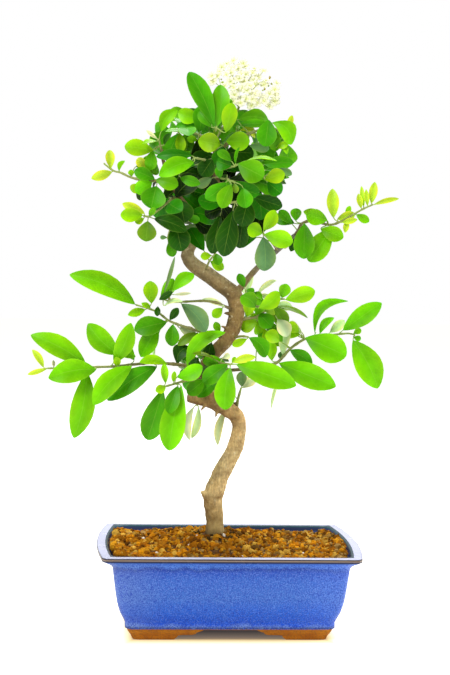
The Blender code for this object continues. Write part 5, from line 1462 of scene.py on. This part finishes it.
def pull_wall():
    """One ring, extruded and resized through the profile, its corners then set level by level."""
    inset, height = POT_PROFILE[0]
    half = half_sizes(inset)
    wall = start_from(bpy.ops.mesh.primitive_circle_add, vertices=RING, radius=0.05,
                      location=(0, 0, 0))
    rounded_rectangle(wall.data.vertices, half, CORNER)
    bpy.ops.object.mode_set(mode="EDIT")
    bpy.ops.mesh.select_all(action="SELECT")
    bpy.ops.transform.translate(value=(0, 0, height * MM + POT_CENTRE.z))
    bpy.ops.mesh.edge_face_add()
    for inset, level in POT_PROFILE[1:]:
        wanted = half_sizes(inset)
        rise = (0, 0, (level - height) * MM)
        bpy.ops.mesh.extrude_region_move(TRANSFORM_OT_translate={"value": rise})
        bpy.ops.transform.resize(value=(wanted[0] / half[0], wanted[1] / half[1], 1),
                                 center_override=(POT_CENTRE.x, POT_CENTRE.y, level * MM))
        half, height = wanted, level
    bpy.ops.object.mode_set(mode="OBJECT")
    face_outwards(wall)
    for step, (inset, level) in enumerate(POT_PROFILE):
        ring = wall.data.vertices[step * RING:(step + 1) * RING]
        rounded_rectangle(ring, half_sizes(inset), corner_radius(inset))
    wall.name = "pot_glazed"
    return wall


def bow_ends(wall):
    """Push the short ends of the rim outwards in a shallow arc."""
    for vert in wall.data.vertices:
        local = (vert.co - POT_CENTRE) / MM
        turn = min(1.0, max(0.0, (local.z - 56.0) / 5.0))
        bow = BODY_BOW + (RIM_BOW - BODY_BOW) * turn * turn * (3 - 2 * turn)
        half_y = RIM_HALF[1] - 8.0 * (1 - turn)
        share = max(0.0, 1 - (local.y / half_y) ** 2)
        side = min(1.0, max(0.0, (abs(local.x) - 50.0) / 20.0))
        vert.co.x += math.copysign(bow * share * side * MM, local.x)


pot = pull_wall()
bow_ends(pot)
print("pot wall:", len(pot.data.vertices), "points")

# %% [markdown]
# Feet and drain holes
#
# The four corner feet are one clay body with the pot. Each is an L of two low walls that
# lean in to the ground and step up like a cloud at their ends. They could stay loose pieces,
# but in the kiln they have grown into the wall, so a boolean joins them, and another one
# cuts the drain holes.

# %% Feet and drain holes
FOOT_INSET = 17.8
FOOT_HEIGHT = 7.3
FOOT_WALL = 13.0
# Height, inset from the corner, long arm, short arm, from the sole up
FOOT_STEPS = [
    (FOOT_SOLE, 5.0, 36.2, 20.8), (FOOT_SOLE + 0.35, 4.6, 36.6, 21.1), (0.4, 4.0, 38.4, 22.2),
    (2.1, 3.3, 39.6, 23.2), (2.5, 3.1, 42.0, 24.6), (2.65, 2.9, 50.0, 28.8), (3.4, 2.4, 52.6, 30.2),
    (4.9, 1.5, 53.6, 31.0), (5.4, 1.2, 55.2, 32.0), (6.5, 0.8, 58.2, 33.8),
    (FOOT_HEIGHT, 0.5, 58.8, 34.0), (FOOT_HEIGHT + 1.5, 0.5, 58.8, 34.0)]
DRAIN_RADIUS = 9
DRAIN_X = 40


def corner_foot(sx, sy):
    corner_x, corner_y = half_sizes(FOOT_INSET)
    inner_x, inner_y = corner_x - FOOT_WALL, corner_y - FOOT_WALL
    verts = []
    for z, inset, long_arm, short_arm in FOOT_STEPS:
        x, y = corner_x - inset, corner_y - inset
        outline = [(x - 5, y), (x - 1.8, y - 0.9), (x - 0.9, y - 1.8), (x, y - 5),
                   (x, corner_y - short_arm), (inner_x, corner_y - short_arm), (inner_x, inner_y),
                   (corner_x - long_arm, inner_y), (corner_x - long_arm, y)]
        verts += [(sx * px, sy * py, z) for px, py in outline]
    return mesh_from("foot", verts, tube_faces(len(verts), len(outline)))


def combine(target, other, operation):
    modify(target, "BOOLEAN", operation=operation, object=other)
    bpy.data.objects.remove(other)


for sx in (-1, 1):
    for sy in (-1, 1):
        combine(pot, corner_foot(sx, sy), "UNION")
    drain = start_from(bpy.ops.mesh.primitive_cylinder_add, vertices=48, radius=DRAIN_RADIUS * MM,
                       depth=20 * MM, location=place((sx * DRAIN_X, 0, 10)))
    combine(pot, drain, "DIFFERENCE")
print("pot with feet:", len(pot.data.polygons), "faces")

# %% Glaze above, bare clay below
dress(pot, GLAZE, CLAY)
for face in pot.data.polygons:
    height = (face.center.z - POT_CENTRE.z) / MM
    face.material_index = 1 if height < FOOT_HEIGHT + 0.25 else 0
smooth(pot, 38)
seat(pot, "glaze", "pot")

# %% [markdown]
# Drain screens
#
# The plastic screens under the soil have the right shape in the frame already. They could be
# modelled again, but nothing would be gained, so they keep their solids and get a finish.

# %% Drain screens
for side in ("left", "right"):
    dress(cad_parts["drain_screen_" + side], PLASTIC)
print("screens finished with", PLASTIC.name)

# %% [markdown]
# The soil
#
# Bonsai soil is a heap of baked clay grains, 2 to 6 mm wide. A bumpy surface would pass from
# far away, but its rim against the pot would look like cloth. So the frame's fill, set a
# little lower, is the dark bed that shows between real grains, its dark a painted shade in the
# gaps. One grain is modelled, a cube with its edges bevelled away, and copied with its own
# size, turn, dents and colour.

# %% Soil bed
TRUNK_FOOT = (-9.8, 8.0)
BED_TOP = 0.055
BED_DROP = 1.4
BACK_DROP = 2.4


def make_bed():
    """Copy of the soil's solid, merged, with its top lowered, most at the back."""
    bed = copy_of(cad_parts["soil"])
    bed.parent = None
    for key in list(bed.keys()):
        del bed[key]
    edit_all(bed, bpy.ops.mesh.remove_doubles, threshold=0.00001)
    for vert in bed.data.vertices:
        if vert.co.z > BED_TOP:
            behind = min(1.0, max(0.0, ((vert.co.y - POT_CENTRE.y) / MM - 38) / 22))
            vert.co.z -= (BED_DROP + BACK_DROP * behind) * MM
    dress(bed, BED)
    bed.name = "soil_bed"
    return bed


bed = seat(make_bed(), "soil", "soil")
bed_skin = BVHTree.FromPolygons([v.co for v in bed.data.vertices],
                                [tuple(face.vertices) for face in bed.data.polygons])

# %% Where the grains lie
SPACING = 3.4
ROW_SPACING = SPACING * 0.87
GRAIN_SIZES = (1.3, 1.5, 1.8, 2.1, 2.4, 2.8, 3.6)
HEAP = 3.0
BARE_ROUND_TRUNK = 10.0


def bed_height(x, y):
    start = place((x, y, 100))
    return (bed_skin.ray_cast(start, Vector((0, 0, -1)))[0].z - POT_CENTRE.z) / MM


def in_pot(x, y):
    """Whether a grain lies inside the pot's opening and beside the trunk."""
    kept = abs(x) < 86.2 + 5.4 * (1 - (y / 64) ** 2) and abs(y) < 62.5
    return kept and math.hypot(x - TRUNK_FOOT[0], y - TRUNK_FOOT[1]) >= BARE_ROUND_TRUNK


def scatter_grains():
    """Grains on a jittered six-sided grid, heaped at both ends, with a few loose ones on top."""
    draw = random.Random("grains")
    spots = []
    for row in range(int(140 / ROW_SPACING)):
        for column in range(int(190 / SPACING)):
            x = -95 + (column + 0.5 * (row % 2)) * SPACING + draw.uniform(-1.0, 1.0)
            y = -68 + row * SPACING * 0.87 + draw.uniform(-1.0, 1.0)
            if not in_pot(x, y):
                continue
            size = draw.choice(GRAIN_SIZES)
            heap = min(1.0, max(0.0, (abs(x) - 74) / 12)) ** 2
            ground = bed_height(max(-84.0, min(84.0, x)), y) + HEAP * heap
            spots.append((x, y, ground - 0.2 + draw.uniform(-0.6, 0.9), size))
            if heap > 0.3:
                spots.append((x, y, ground - 2.6, 2.2))
            if draw.random() < 0.12:
                spots.append((x + 1, y, ground + 1.6, draw.uniform(0.9, 1.7)))
    return spots


grain_spots = scatter_grains()
print("grains:", len(grain_spots))

# %% Shape and colour the grains
GRAIN_COLOURS = [
    (0.52, 0.195, 0.004), (0.6, 0.245, 0.005), (0.46, 0.16, 0.003), (0.6, 0.27, 0.01),
    (0.34, 0.115, 0.003), (0.15, 0.05, 0.003), (0.64, 0.37, 0.05), (0.38, 0.145, 0.005)]
GREY_GRAINS = [(0.3, 0.16, 0.03), (0.14, 0.07, 0.012), (0.44, 0.27, 0.08)]
PERLITE = (0.86, 0.82, 0.72)
PERLITE_SHARE = 0.008
DARK_GRAIN = (0.03, 0.02, 0.006)


def grain_colour(draw, x, y):
    """Dark near the trunk, greyer to the right and behind, here and there white, and darker with
    painted shade under the head's middle and to the right.
    """
    near = math.hypot(x - TRUNK_FOOT[0] - 2, y - TRUNK_FOOT[1] + 4)
    if draw.random() < 0.72 - near / 34:
        return DARK_GRAIN
    if draw.random() < PERLITE_SHARE:
        return PERLITE
    greyness = 0.1 + 0.25 * max(0.0, (x - 10) / 80) + 0.15 * max(0.0, y / 62)
    colour = draw.choice(GREY_GRAINS if draw.random() < greyness else GRAIN_COLOURS)
    # Painted shade: grains darker under the middle of the head and towards the right.
    shade_under_head = 1 - 0.24 * math.exp(-((x - 5) / 26) ** 2) - 0.1 * max(0.0, x / 90)
    lightness = draw.uniform(0.6, 1.25) * shade_under_head
    return [c * lightness for c in colour]


def build_grains(spots):
    master = start_from(bpy.ops.mesh.primitive_cube_add, size=1.5, location=(0, 0, 0))
    edit_all(master, bpy.ops.mesh.bevel, offset=0.42, segments=1)
    shape = [v.co.copy() for v in master.data.vertices]
    polygons = [tuple(face.vertices) for face in master.data.polygons]
    bpy.data.objects.remove(master)
    draw = random.Random("grain shapes")
    verts, faces, colours = [], [], []
    for x, y, z, size in spots:
        turn = Euler([draw.uniform(0, math.tau) for _ in range(3)]).to_matrix()
        stretch = Vector((draw.uniform(0.75, 1.25), draw.uniform(0.75, 1.2), draw.uniform(0.65, 1.0)))
        colour = (*grain_colour(draw, x, y), 1.0)
        start = len(verts)
        for corner in shape:
            dent = 1 + 0.55 * noise.noise(corner * 1.7 + Vector((x, y, z)))
            verts.append(place(Vector((x, y, z)) + turn @ (corner * stretch) * size * dent))
            colours.append(colour)
        faces += [tuple(start + i for i in face) for face in polygons]
    grains = new_object("soil_grains", verts, faces)
    paint(grains, "grain_colour", colours)
    dress(grains, GRAIN)
    return grains


seat(build_grains(grain_spots), "soil")

# %% [markdown]
# The trunk
#
# The trunk was wired into two sharp bends when it was young. Tubes that are only joined show
# a crease at every fork, and a skin modifier gives little hold on the thickness. So every
# limb is a tube swept along its route with an uneven radius, a voxel remesh grows the tubes
# together into one skin, and the bark's ridges, swellings and old scars are pushed out of it.

# %% Sweep the limbs and grow them together
VOXEL = 0.85
KNOBBLE = 0.07


def sweep(points, radii, sides):
    return mesh_from("limb", *tube_shell(points, radii, sides))


def grow_wood():
    draw = random.Random("bark")
    tubes = []
    for limb in LIMBS.values():
        route = smooth_route(limb, 4.0)
        wobble = draw.uniform(0, 50)
        radii = [p[3] * (1 + KNOBBLE * noise.noise(Vector((wobble, i * 0.45, 0))))
                 for i, p in enumerate(route)]
        tubes.append(sweep([sight(*p[:3]) for p in route], radii, 20))
    for foot, point, radius in SPURS:
        middle = sight(*foot).lerp(sight(*point), 0.55) + Vector((0, 0, 0.5))
        tubes.append(sweep([sight(*foot), middle, sight(*point)], [radius, radius * 0.62, 0.5], 10))
    return join(tubes, "trunk_bark")


trunk = grow_wood()
modify(trunk, "REMESH", mode="VOXEL", voxel_size=VOXEL * MM)
print("trunk skin:", len(trunk.data.vertices), "points")

# %% Push the bark out
# Swellings, and below 0 hollows: centre (across, up, back), reach, height
BURLS = [
    ((-17, 101, 1), 7.5, 1.7), ((-6, 103, -1), 5.0, 1.0), ((-13, 72, 2), 8.0, 0.8),
    ((7, 166, -3), 6.5, 1.2), ((-3, 164, -3), 5.0, 1.0), ((3, 262, -2), 7.0, 1.2),
    ((-33, 290, -3), 6.0, 0.9), ((-18, 190, -4), 6.0, 0.8), ((5, 137, -3), 4.0, -0.5),
    ((-13.5, 101.5, -3.5), 3.0, -1.5), ((-2, 84, -1), 3.0, -0.6)]
BARK_DEPTHS = (0.34, 0.2, 0.5)


def push_bark(item):
    """Ridges along the wood, grain, lumps and old wounds, all by formula along the normals."""
    mesh = item.data
    normals = [v.normal.copy() for v in mesh.vertices]
    for vert, normal in zip(mesh.vertices, normals):
        local = (vert.co - POT_CENTRE) / MM
        thick = min(1.0, max(0.25, (360 - local.z) / 200))
        shapes = (noise.noise(Vector((local.x * 0.75, local.y * 0.75, local.z * 0.16))),
                  noise.noise(Vector((local.x * 1.6, local.y * 1.6, local.z * 0.7))),
                  noise.noise(local * 0.17))
        out = thick * sum(depth * shape for depth, shape in zip(BARK_DEPTHS, shapes))
        for centre, reach, height in BURLS:
            far = (sight(*centre) - local).length / reach
            if far < 1:
                out += height * (1 - far * far) ** 2
        vert.co += normal * out * MM


push_bark(trunk)
dress(trunk, BARK)
bpy.ops.object.shade_smooth()
seat(trunk, "bark", "trunk")

# %% [markdown]
# The leaves
#
# A flat card with a leaf painted on it is quick, but it vanishes from the side. One blade is
# modelled instead: a grid, narrowed to the leaf's outline, broad beyond its middle and blunt
# at the tip as a firethorn's is. Each copy is then folded along its midrib, arched, rippled
# and laid in its place, and thickened by a third of a millimetre.

# %% Leaf master
LEAF_ROWS = 12
LEAF_COLUMNS = 6
# As in STEMS: k is painted deep shade, g a painted grey sheen and p painted light through the blade
LEAF_COLOURS = {"k": (0.006, 0.024, 0.001), "e": (0.022, 0.22, 0.0), "n": (0.11, 0.42, 0.001),
                "d": (0.014, 0.08, 0.001), "m": (0.065, 0.33, 0.001), "b": (0.165, 0.56, 0.0),
                "l": (0.27, 0.6, 0.002), "y": (0.56, 0.76, 0.03), "o": (0.13, 0.26, 0.008),
                "g": (0.13, 0.28, 0.08), "p": (0.7, 0.85, 0.38), "c": (0.6, 0.54, 0.28)}
# Where the blade is broadest, and how blunt its ends are, for pointed and for blunt leaves
OUTLINES = {False: (1.14, 0.66), True: (1.42, 0.56)}
NARROWEST = 0.03


def leaf_master(blunt):
    """Flat blade: x from -1 to 1 across, y from 0 to 1 along, closely spaced at both ends."""
    master = start_from(bpy.ops.mesh.primitive_grid_add, x_subdivisions=LEAF_COLUMNS,
                        y_subdivisions=LEAF_ROWS, size=2, location=(0, 0, 0))
    master.data.uv_layers[0].name = "blade"
    skew, roundness = OUTLINES[blunt]
    for vert in master.data.vertices:
        q = (1 - math.cos(math.pi * (vert.co.y + 1) / 2)) / 2
        vert.co.y = q
        vert.co.x *= max(max(0.0, math.sin(math.pi * q ** skew)) ** roundness, NARROWEST)
    return master


blade_forms = {True: leaf_master(True), False: leaf_master(False)}
print("blade:", len(blade_forms[True].data.polygons), "faces")

# %% Lay a blade in its place

def lay_blade(master, leaf, colour, draw):
    """Copy of the master, bent into a leaf's place, and coloured from stalk to tip with painted light:
    paler to the tip, one half lit, thin edges lit through.
    """
    blade = copy_of(master)
    length, along, side, normal = leaf_frame(leaf["base"], leaf["tip"], leaf["face"])
    half = leaf["width"] / 2
    phase, ripple = draw.uniform(0, math.tau), draw.uniform(0.02, 0.06)
    curl = draw.uniform(-0.04, 0.07)
    tints = []
    painted_lit_half = draw.choice((-1, 1))
    for vert in blade.data.vertices:
        u, q = vert.co.x, vert.co.y
        bow = 4 * q * (1 - q)
        edge = abs(u)
        lift = ARCH * length * bow + FOLD * half * edge * 1.1 - curl * length * q * q * q
        lift += ripple * half * edge * math.sin(phase + 9 * q + (1.5 if u > 0 else 0))
        point = leaf["base"] + along * length * q + normal * lift
        point += side * (leaf["sway"] * bow + half * u)
        vert.co = place(point)
        # Painted light: the blade paler to the tip than at the stalk, one half lit and the other
        # shaded, and its thin edges paler and yellower, as if lit through.
        painted_glow = 1 + 0.24 * (q - 0.5) + 0.12 * painted_lit_half * (1 if u > 0 else -1 if u < 0 else 0)
        thin = min(1.0, edge) ** 2
        tints.append((colour[0] * painted_glow * (0.85 + 0.6 * thin), colour[1] * painted_glow * (0.93 + 0.22 * thin),
                      colour[2] * painted_glow, 1.0))
    paint(blade, "leaf_colour", tints)
    return blade


print("tones:", "".join(LEAF_COLOURS))

# %% [markdown]
# Stalks and twigs
#
# A straight stalk meets its blade at a hard angle. A real one leaves its twig at a slant and
# turns into the blade's own direction, so it follows a short Bezier curve. Twigs are brown at
# the trunk and green at their tips.

# %% Stalks and twigs
TWIG_BROWN = (0.2, 0.13, 0.05)
TWIG_GREEN = (0.34, 0.46, 0.1)
STALK_GREEN = (0.45, 0.62, 0.12)
STALK_RADII = [0.62, 0.5, 0.45, 0.42, 0.4, 0.25]
STALK_NEEDED = 0.6


def coloured_tube(points, radii, sides, first, last):
    item = sweep(points, radii, sides)
    ends = len(points) - 1
    colours = []
    for i in range(len(points)):
        tint = [a + (b - a) * i / ends for a, b in zip(first, last)]
        colours += [(*tint, 1.0)] * sides
    paint(item, "leaf_colour", colours)
    return item


def stalk(leaf, colour):
    length, along = leaf_frame(leaf["base"], leaf["tip"], leaf["face"])[:2]
    reach = leaf["base"] - leaf["root"]
    if reach.length < STALK_NEEDED:
        return None
    first = leaf["root"] + reach * 0.4
    second = leaf["base"] - along * reach.length * 0.35
    end = leaf["base"] + along * min(1.5, 0.08 * length)
    points = []
    for i in range(len(STALK_RADII)):
        t = i / (len(STALK_RADII) - 1)
        points.append(leaf["root"] * (1 - t) ** 3 + first * 3 * t * (1 - t) ** 2
                      + second * 3 * t * t * (1 - t) + end * t ** 3)
    pale = [0.55 * c + 0.45 * g for c, g in zip(colour, STALK_GREEN)]
    return coloured_tube(points, STALK_RADII, 6, TWIG_GREEN, pale)


def twig(route):
    """Twig with a slight swelling at every fifth step, where buds sit."""
    fine = smooth_route(route, 2.5)
    radii = [p[3] * (1.0 + (0.22 if i % 5 == 2 else 0.0)) for i, p in enumerate(fine)]
    return coloured_tube([sight(*p[:3]) for p in fine], radii, 8, TWIG_BROWN, TWIG_GREEN)


print("stalk rings:", len(STALK_RADII))

# %% Grow every leafy stem
LEAF_THICKNESS = 0.32
BLUNT_STEMS = ("stem_crown", "stem_left_low", "stem_crown_right", "stem_head_bottom")
BLUNT_RATIO = 1.95


def is_blunt(name, leaf):
    """Short leaves, and those of some shoots, are broadest near their tip."""
    length = (leaf["tip"] - leaf["base"]).length
    return name in BLUNT_STEMS or length < BLUNT_RATIO * leaf["width"]


def grow_stem(name, twigs, leaves):
    """One piece for each leafy stem: twigs, stalks and thin closed blades."""
    draw = random.Random(name)
    tones = {**STEMS, **HIDDEN_STEMS}[name][0]
    wood_parts = [twig(route) for route in twigs]
    blades = []
    for index, leaf in enumerate(leaves):
        colour = LEAF_COLOURS[leaf.get("tone") or tones[index % len(tones)]]
        colour = [c * draw.uniform(0.9, 1.12) for c in colour]
        blades.append(lay_blade(blade_forms[is_blunt(name, leaf)], leaf, colour, draw))
        wood_parts.append(stalk(leaf, colour))
    foliage = join(blades, name + "_leaves")
    dress(foliage, LEAF_TOP, LEAF_UNDER, TWIG)
    modify(foliage, "SOLIDIFY", thickness=LEAF_THICKNESS * MM, offset=0.0, material_offset=1,
           material_offset_rim=0)
    branch = join([item for item in wood_parts if item], name + "_twigs")
    dress(branch, TWIG)
    stem = join([foliage, branch], name + "_grown")
    smooth(stem, 50)
    seat(stem, "leaf", name)


for stem_name, (twigs, leaves) in stems.items():
    grow_stem(stem_name, twigs, leaves)
for form in blade_forms.values():
    bpy.data.objects.remove(form)

# %% [markdown]
# The flower head
#
# Firethorn flowers in corymbs: many small five-petalled florets, held level on forked
# stalks. From afar a white ball would do, but the gaps between the florets are what one
# sees. One floret is modelled with cupped petals, a green heart and stamens, and copied.

# %% Floret master
PETALS = 5
# Rows of a petal on a floret of radius 1: reach, half width, lift
PETAL_ROWS = [(0.14, 0.12, 0.0), (0.48, 0.38, 0.04), (0.86, 0.5, 0.12), (1.14, 0.3, 0.26)]
PETAL_SHADES = (0.8, 0.35, 0.0, 0.0)
PETAL_CREAM = (0.97, 0.97, 0.74)
PETAL_GREEN = (0.8, 0.86, 0.38)
HEART_GREEN = (0.66, 0.76, 0.14)
ANTHER = (0.7, 0.55, 0.12)
STAMENS = 8
# One petal's points in order round its edge
PETAL_EDGE = (0, 3, 6, 9, 10, 11, 8, 5, 2, 1)


def petal_points(turn):
    """One round, cupped petal as a 3 by 4 grid of points."""
    spin = Matrix.Rotation(turn, 3, "Z")
    return [spin @ Vector((reach - 0.06 * abs(s), s * half, lift + 0.09 * abs(s)))
            for reach, half, lift in PETAL_ROWS for s in (-1, 0, 1)]


def add_knob(shape, centre, radius, colour):
    verts, faces, colours = shape
    start = len(verts)
    ways = [(1, 0, 0), (0, 1, 0), (-1, 0, 0), (0, -1, 0), (0, 0, 1), (0, 0, -1)]
    verts += [centre + Vector(way) * radius for way in ways]
    colours += [colour] * len(ways)
    for k in range(4):
        a, b = start + k, start + (k + 1) % 4
        faces += [(a, b, start + 4), (b, a, start + 5)]


def full_floret():
    """Points, faces and colours of one floret, facing +Z: closed petals, heart and stamens."""
    verts, faces, colours = [], [], []
    for k in range(PETALS):
        start = len(verts)
        verts += petal_points(math.tau * k / PETALS)
        for paleness in PETAL_SHADES:
            tone = [a + (b - a) * paleness for a, b in zip(PETAL_CREAM, PETAL_GREEN)]
            colours += [tone] * 3
        for corner in (start + 3 * r + c for r in range(3) for c in range(2)):
            faces.append((corner, corner + 3, corner + 4, corner + 1))
    count = len(verts)
    under = [tuple(count + i for i in reversed(face)) for face in faces]
    rims = []
    for k in range(PETALS):
        loop = [i + 12 * k for i in PETAL_EDGE]
        rims += [(a, count + a, count + b, b) for a, b in zip(loop, loop[1:] + loop[:1])]
    bottom = [v - Vector((0, 0, 0.07)) for v in verts]
    shape = (verts + bottom, faces + under + rims, colours + colours)
    add_knob(shape, Vector((0, 0, 0.06)), 0.2, HEART_GREEN)
    for k in range(STAMENS):
        angle = k * math.tau / STAMENS + 0.3
        way = Vector((math.cos(angle), math.sin(angle), 0))
        add_knob(shape, way * 0.34 + Vector((0, 0, 0.38)), 0.055, ANTHER)
    return shape


floret = full_floret()
print("floret:", len(floret[1]), "faces")

# %% Build the corymb
TO_LIGHT = Vector((-0.1, -1.0, 0.25))
CALYX_COLOURS = [(0.3, 0.32, 0.02), (0.42, 0.52, 0.06), (0.42, 0.3, 0.05)]
FLORETS_BETWEEN = 28


def wobble(draw, reach):
    return Vector([draw.uniform(-reach, reach) for _ in range(3)])


def add_shape(target, points, faces, colours):
    """Add a shape in metres to the growing lists of the corymb."""
    start = len(target[0])
    target[0].extend(points)
    target[1].extend(tuple(start + i for i in face) for face in faces)
    target[2].extend((*colour, 1.0) for colour in colours)


def build_corymb():
    """Open florets and, between them, clusters of green buds, in one piece."""
    draw = random.Random("florets")
    whole = ([], [], [])
    between = corymb_florets(FLORETS_BETWEEN, 2.1, "between")
    for centre, facing in corymb_florets() + between[::2] + between[1::4]:
        facing = (facing.lerp(TO_LIGHT, 0.45) + wobble(draw, 0.25)).normalized()
        centre = centre + wobble(draw, 0.9)
        turn = facing.to_track_quat("Z", "Y").to_matrix() @ Matrix.Rotation(draw.uniform(0, 6), 3, "Z")
        size = FLORET_RADIUS * draw.uniform(0.86, 1.04)
        tint = draw.uniform(0.93, 1.04)
        add_shape(whole, [place(centre + turn @ (v * size)) for v in floret[0]], floret[1],
                  [[min(1.0, c * tint) for c in colour] for colour in floret[2]])
    for centre, facing in between[3::4]:
        knob = ([], [], [])
        for _ in range(3):
            add_knob(knob, centre + wobble(draw, 1.6), draw.uniform(0.7, 1.1),
                     draw.choice(CALYX_COLOURS))
        add_shape(whole, [place(v) for v in knob[0]], knob[1], knob[2])
    florets = new_object("flower_florets", whole[0], whole[1])
    paint(florets, "petal_colour", whole[2])
    dress(florets, PETAL)
    face_outwards(florets)
    bpy.ops.object.shade_smooth()
    return florets


seat(build_corymb(), "petal", "flower_corymb")

# %% Flower stalks
FLOWER_STALK = (0.26, 0.34, 0.08)
FLORET_STALK = (0.62, 0.7, 0.3)


def build_flower_stalks():
    """Main stalk, its forks, and a fine stalk from the nearest of them to each floret."""
    main = [sight(*p) for p in smooth_route(MAIN_STALK, 3.0)]
    tubes = [coloured_tube(main, [1.0] * len(main), 8, FLOWER_STALK, FLOWER_STALK)]
    nodes = [sight(*CORYMB_TOP)]
    for start, end in FORKS:
        low, high = sight(*start), sight(*end)
        tubes.append(coloured_tube([low, high], [0.7, 0.5], 6, FLOWER_STALK, FLORET_STALK))
        nodes += [high, low.lerp(high, 0.6)]
    for centre, facing in corymb_florets():
        near = min(nodes, key=lambda spot: (spot - centre).length)
        tubes.append(coloured_tube([near, centre - facing * 0.2], [0.3, 0.3], 5, FLORET_STALK,
                                   FLORET_STALK))
    stalks = join(tubes, "flower_stalks")
    dress(stalks, TWIG)
    smooth(stalks, 50)
    return stalks


seat(build_flower_stalks(), "leaf")

# %% [markdown]
# Stage, light and camera
#
# The plant stands on a white sweep in soft light from the upper left, with so much light
# around it that thin leaves glow. A closed studio could be built, but a plain floor and a
# pale sky give the same light. The floor takes a warm shade where the pot stands, ramped
# over the distance from its feet, because a floor that glows shows almost no shadow.

# %% Floor
FLOOR_GLOW = 0.62
# Shade ends this far from the pot's centre to the sides and to the front, in metres; the
# sides fall off faster
SHADE_SIDE, SHADE_FRONT, SIDE_FALL = 0.163, 0.052, 2.2
SHADE_SPAN = (-0.024, 0.022)
FLOOR_SHADES = [
    (0.0, (0.09, 0.075, 0.075)), (0.22, (0.19, 0.155, 0.13)), (0.35, (0.26, 0.21, 0.18)),
    (0.48, (0.36, 0.28, 0.19)), (0.54, (0.58, 0.47, 0.27)), (0.61, (0.78, 0.67, 0.4)),
    (0.72, (0.9, 0.82, 0.56)), (0.85, (0.97, 0.94, 0.75)), (1.0, (1.0, 0.99, 0.94))]


def floor_material():
    """White floor that the camera sees glowing, with the pot's shade on it."""
    made, tree = new_material("white_floor", 0.9, 0.0)
    spot = axes(tree, from_pot(tree, object_point(tree)))
    beside = maths(tree, "MULTIPLY_ADD", maths(tree, "ABSOLUTE", spot["X"]), SIDE_FALL, -SHADE_SIDE)
    before = maths(tree, "SUBTRACT", maths(tree, "ABSOLUTE", spot["Y"]), SHADE_FRONT)
    colour = ramp(tree, span(tree, maths(tree, "MAXIMUM", beside, before), *SHADE_SPAN), FLOOR_SHADES)
    feed(made, "Base Color", colour)
    feed(made, "Emission Color", colour)
    seen = add_node(tree, "LightPath").outputs["Is Camera Ray"]
    feed(made, "Emission Strength", maths(tree, "MULTIPLY", seen, FLOOR_GLOW))
    return made


floor = start_from(bpy.ops.mesh.primitive_plane_add, size=14.0, location=(0, 0, 0))
floor.name = "floor"
dress(floor, floor_material())
print("floor:", round(floor.dimensions.x), "m wide")

# %% Sky and lights
ROOM_LIGHT = 0.42
# Name, place, aim, size and power
LAMPS = [
    ("key_left", (-1.0, -1.2, 1.5), (0, 0, 0.2), 0.8, 27.0),
    ("side_right", (1.5, 0.1, 0.8), (0, 0, 0.2), 0.8, 14.0),
    ("top_back", (0.2, 0.7, 1.5), (0, 0, 0.25), 0.9, 20.0)]


def white_room():
    """Pale sky that lights the plant less than the camera sees of it."""
    world = bpy.data.worlds.new("white_room")
    bpy.context.scene.world = world
    world.use_nodes = True
    tree = world.node_tree
    sky = tree.nodes["Background"]
    sky.inputs["Color"].default_value = (1.0, 1.0, 1.0, 1.0)
    seen = add_node(tree, "LightPath").outputs["Is Camera Ray"]
    tree.links.new(span(tree, seen, 0.0, 1.0, ROOM_LIGHT, 1.0), sky.inputs["Strength"])


def soft_light(name, location, aim, size, power):
    lamp = bpy.data.lights.new(name, "AREA")
    lamp.shape = "SQUARE"
    lamp.size = size
    lamp.energy = power
    item = link(bpy.data.objects.new(name, lamp))
    item.location = location
    item.rotation_euler = (Vector(aim) - Vector(location)).to_track_quat("-Z", "Y").to_euler()


white_room()
for lamp in LAMPS:
    soft_light(*lamp)
bpy.context.scene.view_settings.view_transform = "Standard"
print("lights:", len(bpy.data.lights))

# %% Camera
FOCAL_PIXELS = 1407.9
FRAME_HEIGHT = 675
YAW, PITCH, ROLL = (math.radians(a) for a in (-3.55, -2.62, -0.99))

turn = Matrix.Rotation(YAW, 3, "Z") @ Matrix.Rotation(PITCH, 3, "X") @ Matrix.Rotation(ROLL, 3, "Y")
right, forward, up = turn.col[0], turn.col[1], turn.col[2]
facing = Matrix((right, up, -forward)).transposed().to_4x4()
lens = bpy.data.cameras.new("camera")
lens.sensor_width = 36.0
lens.lens = FOCAL_PIXELS / FRAME_HEIGHT * lens.sensor_width
camera = link(bpy.data.objects.new("camera", lens))
camera.matrix_world = Matrix.Translation(place(EYE)) @ facing
bpy.context.scene.camera = camera
print("lens:", round(lens.lens, 2), "mm")
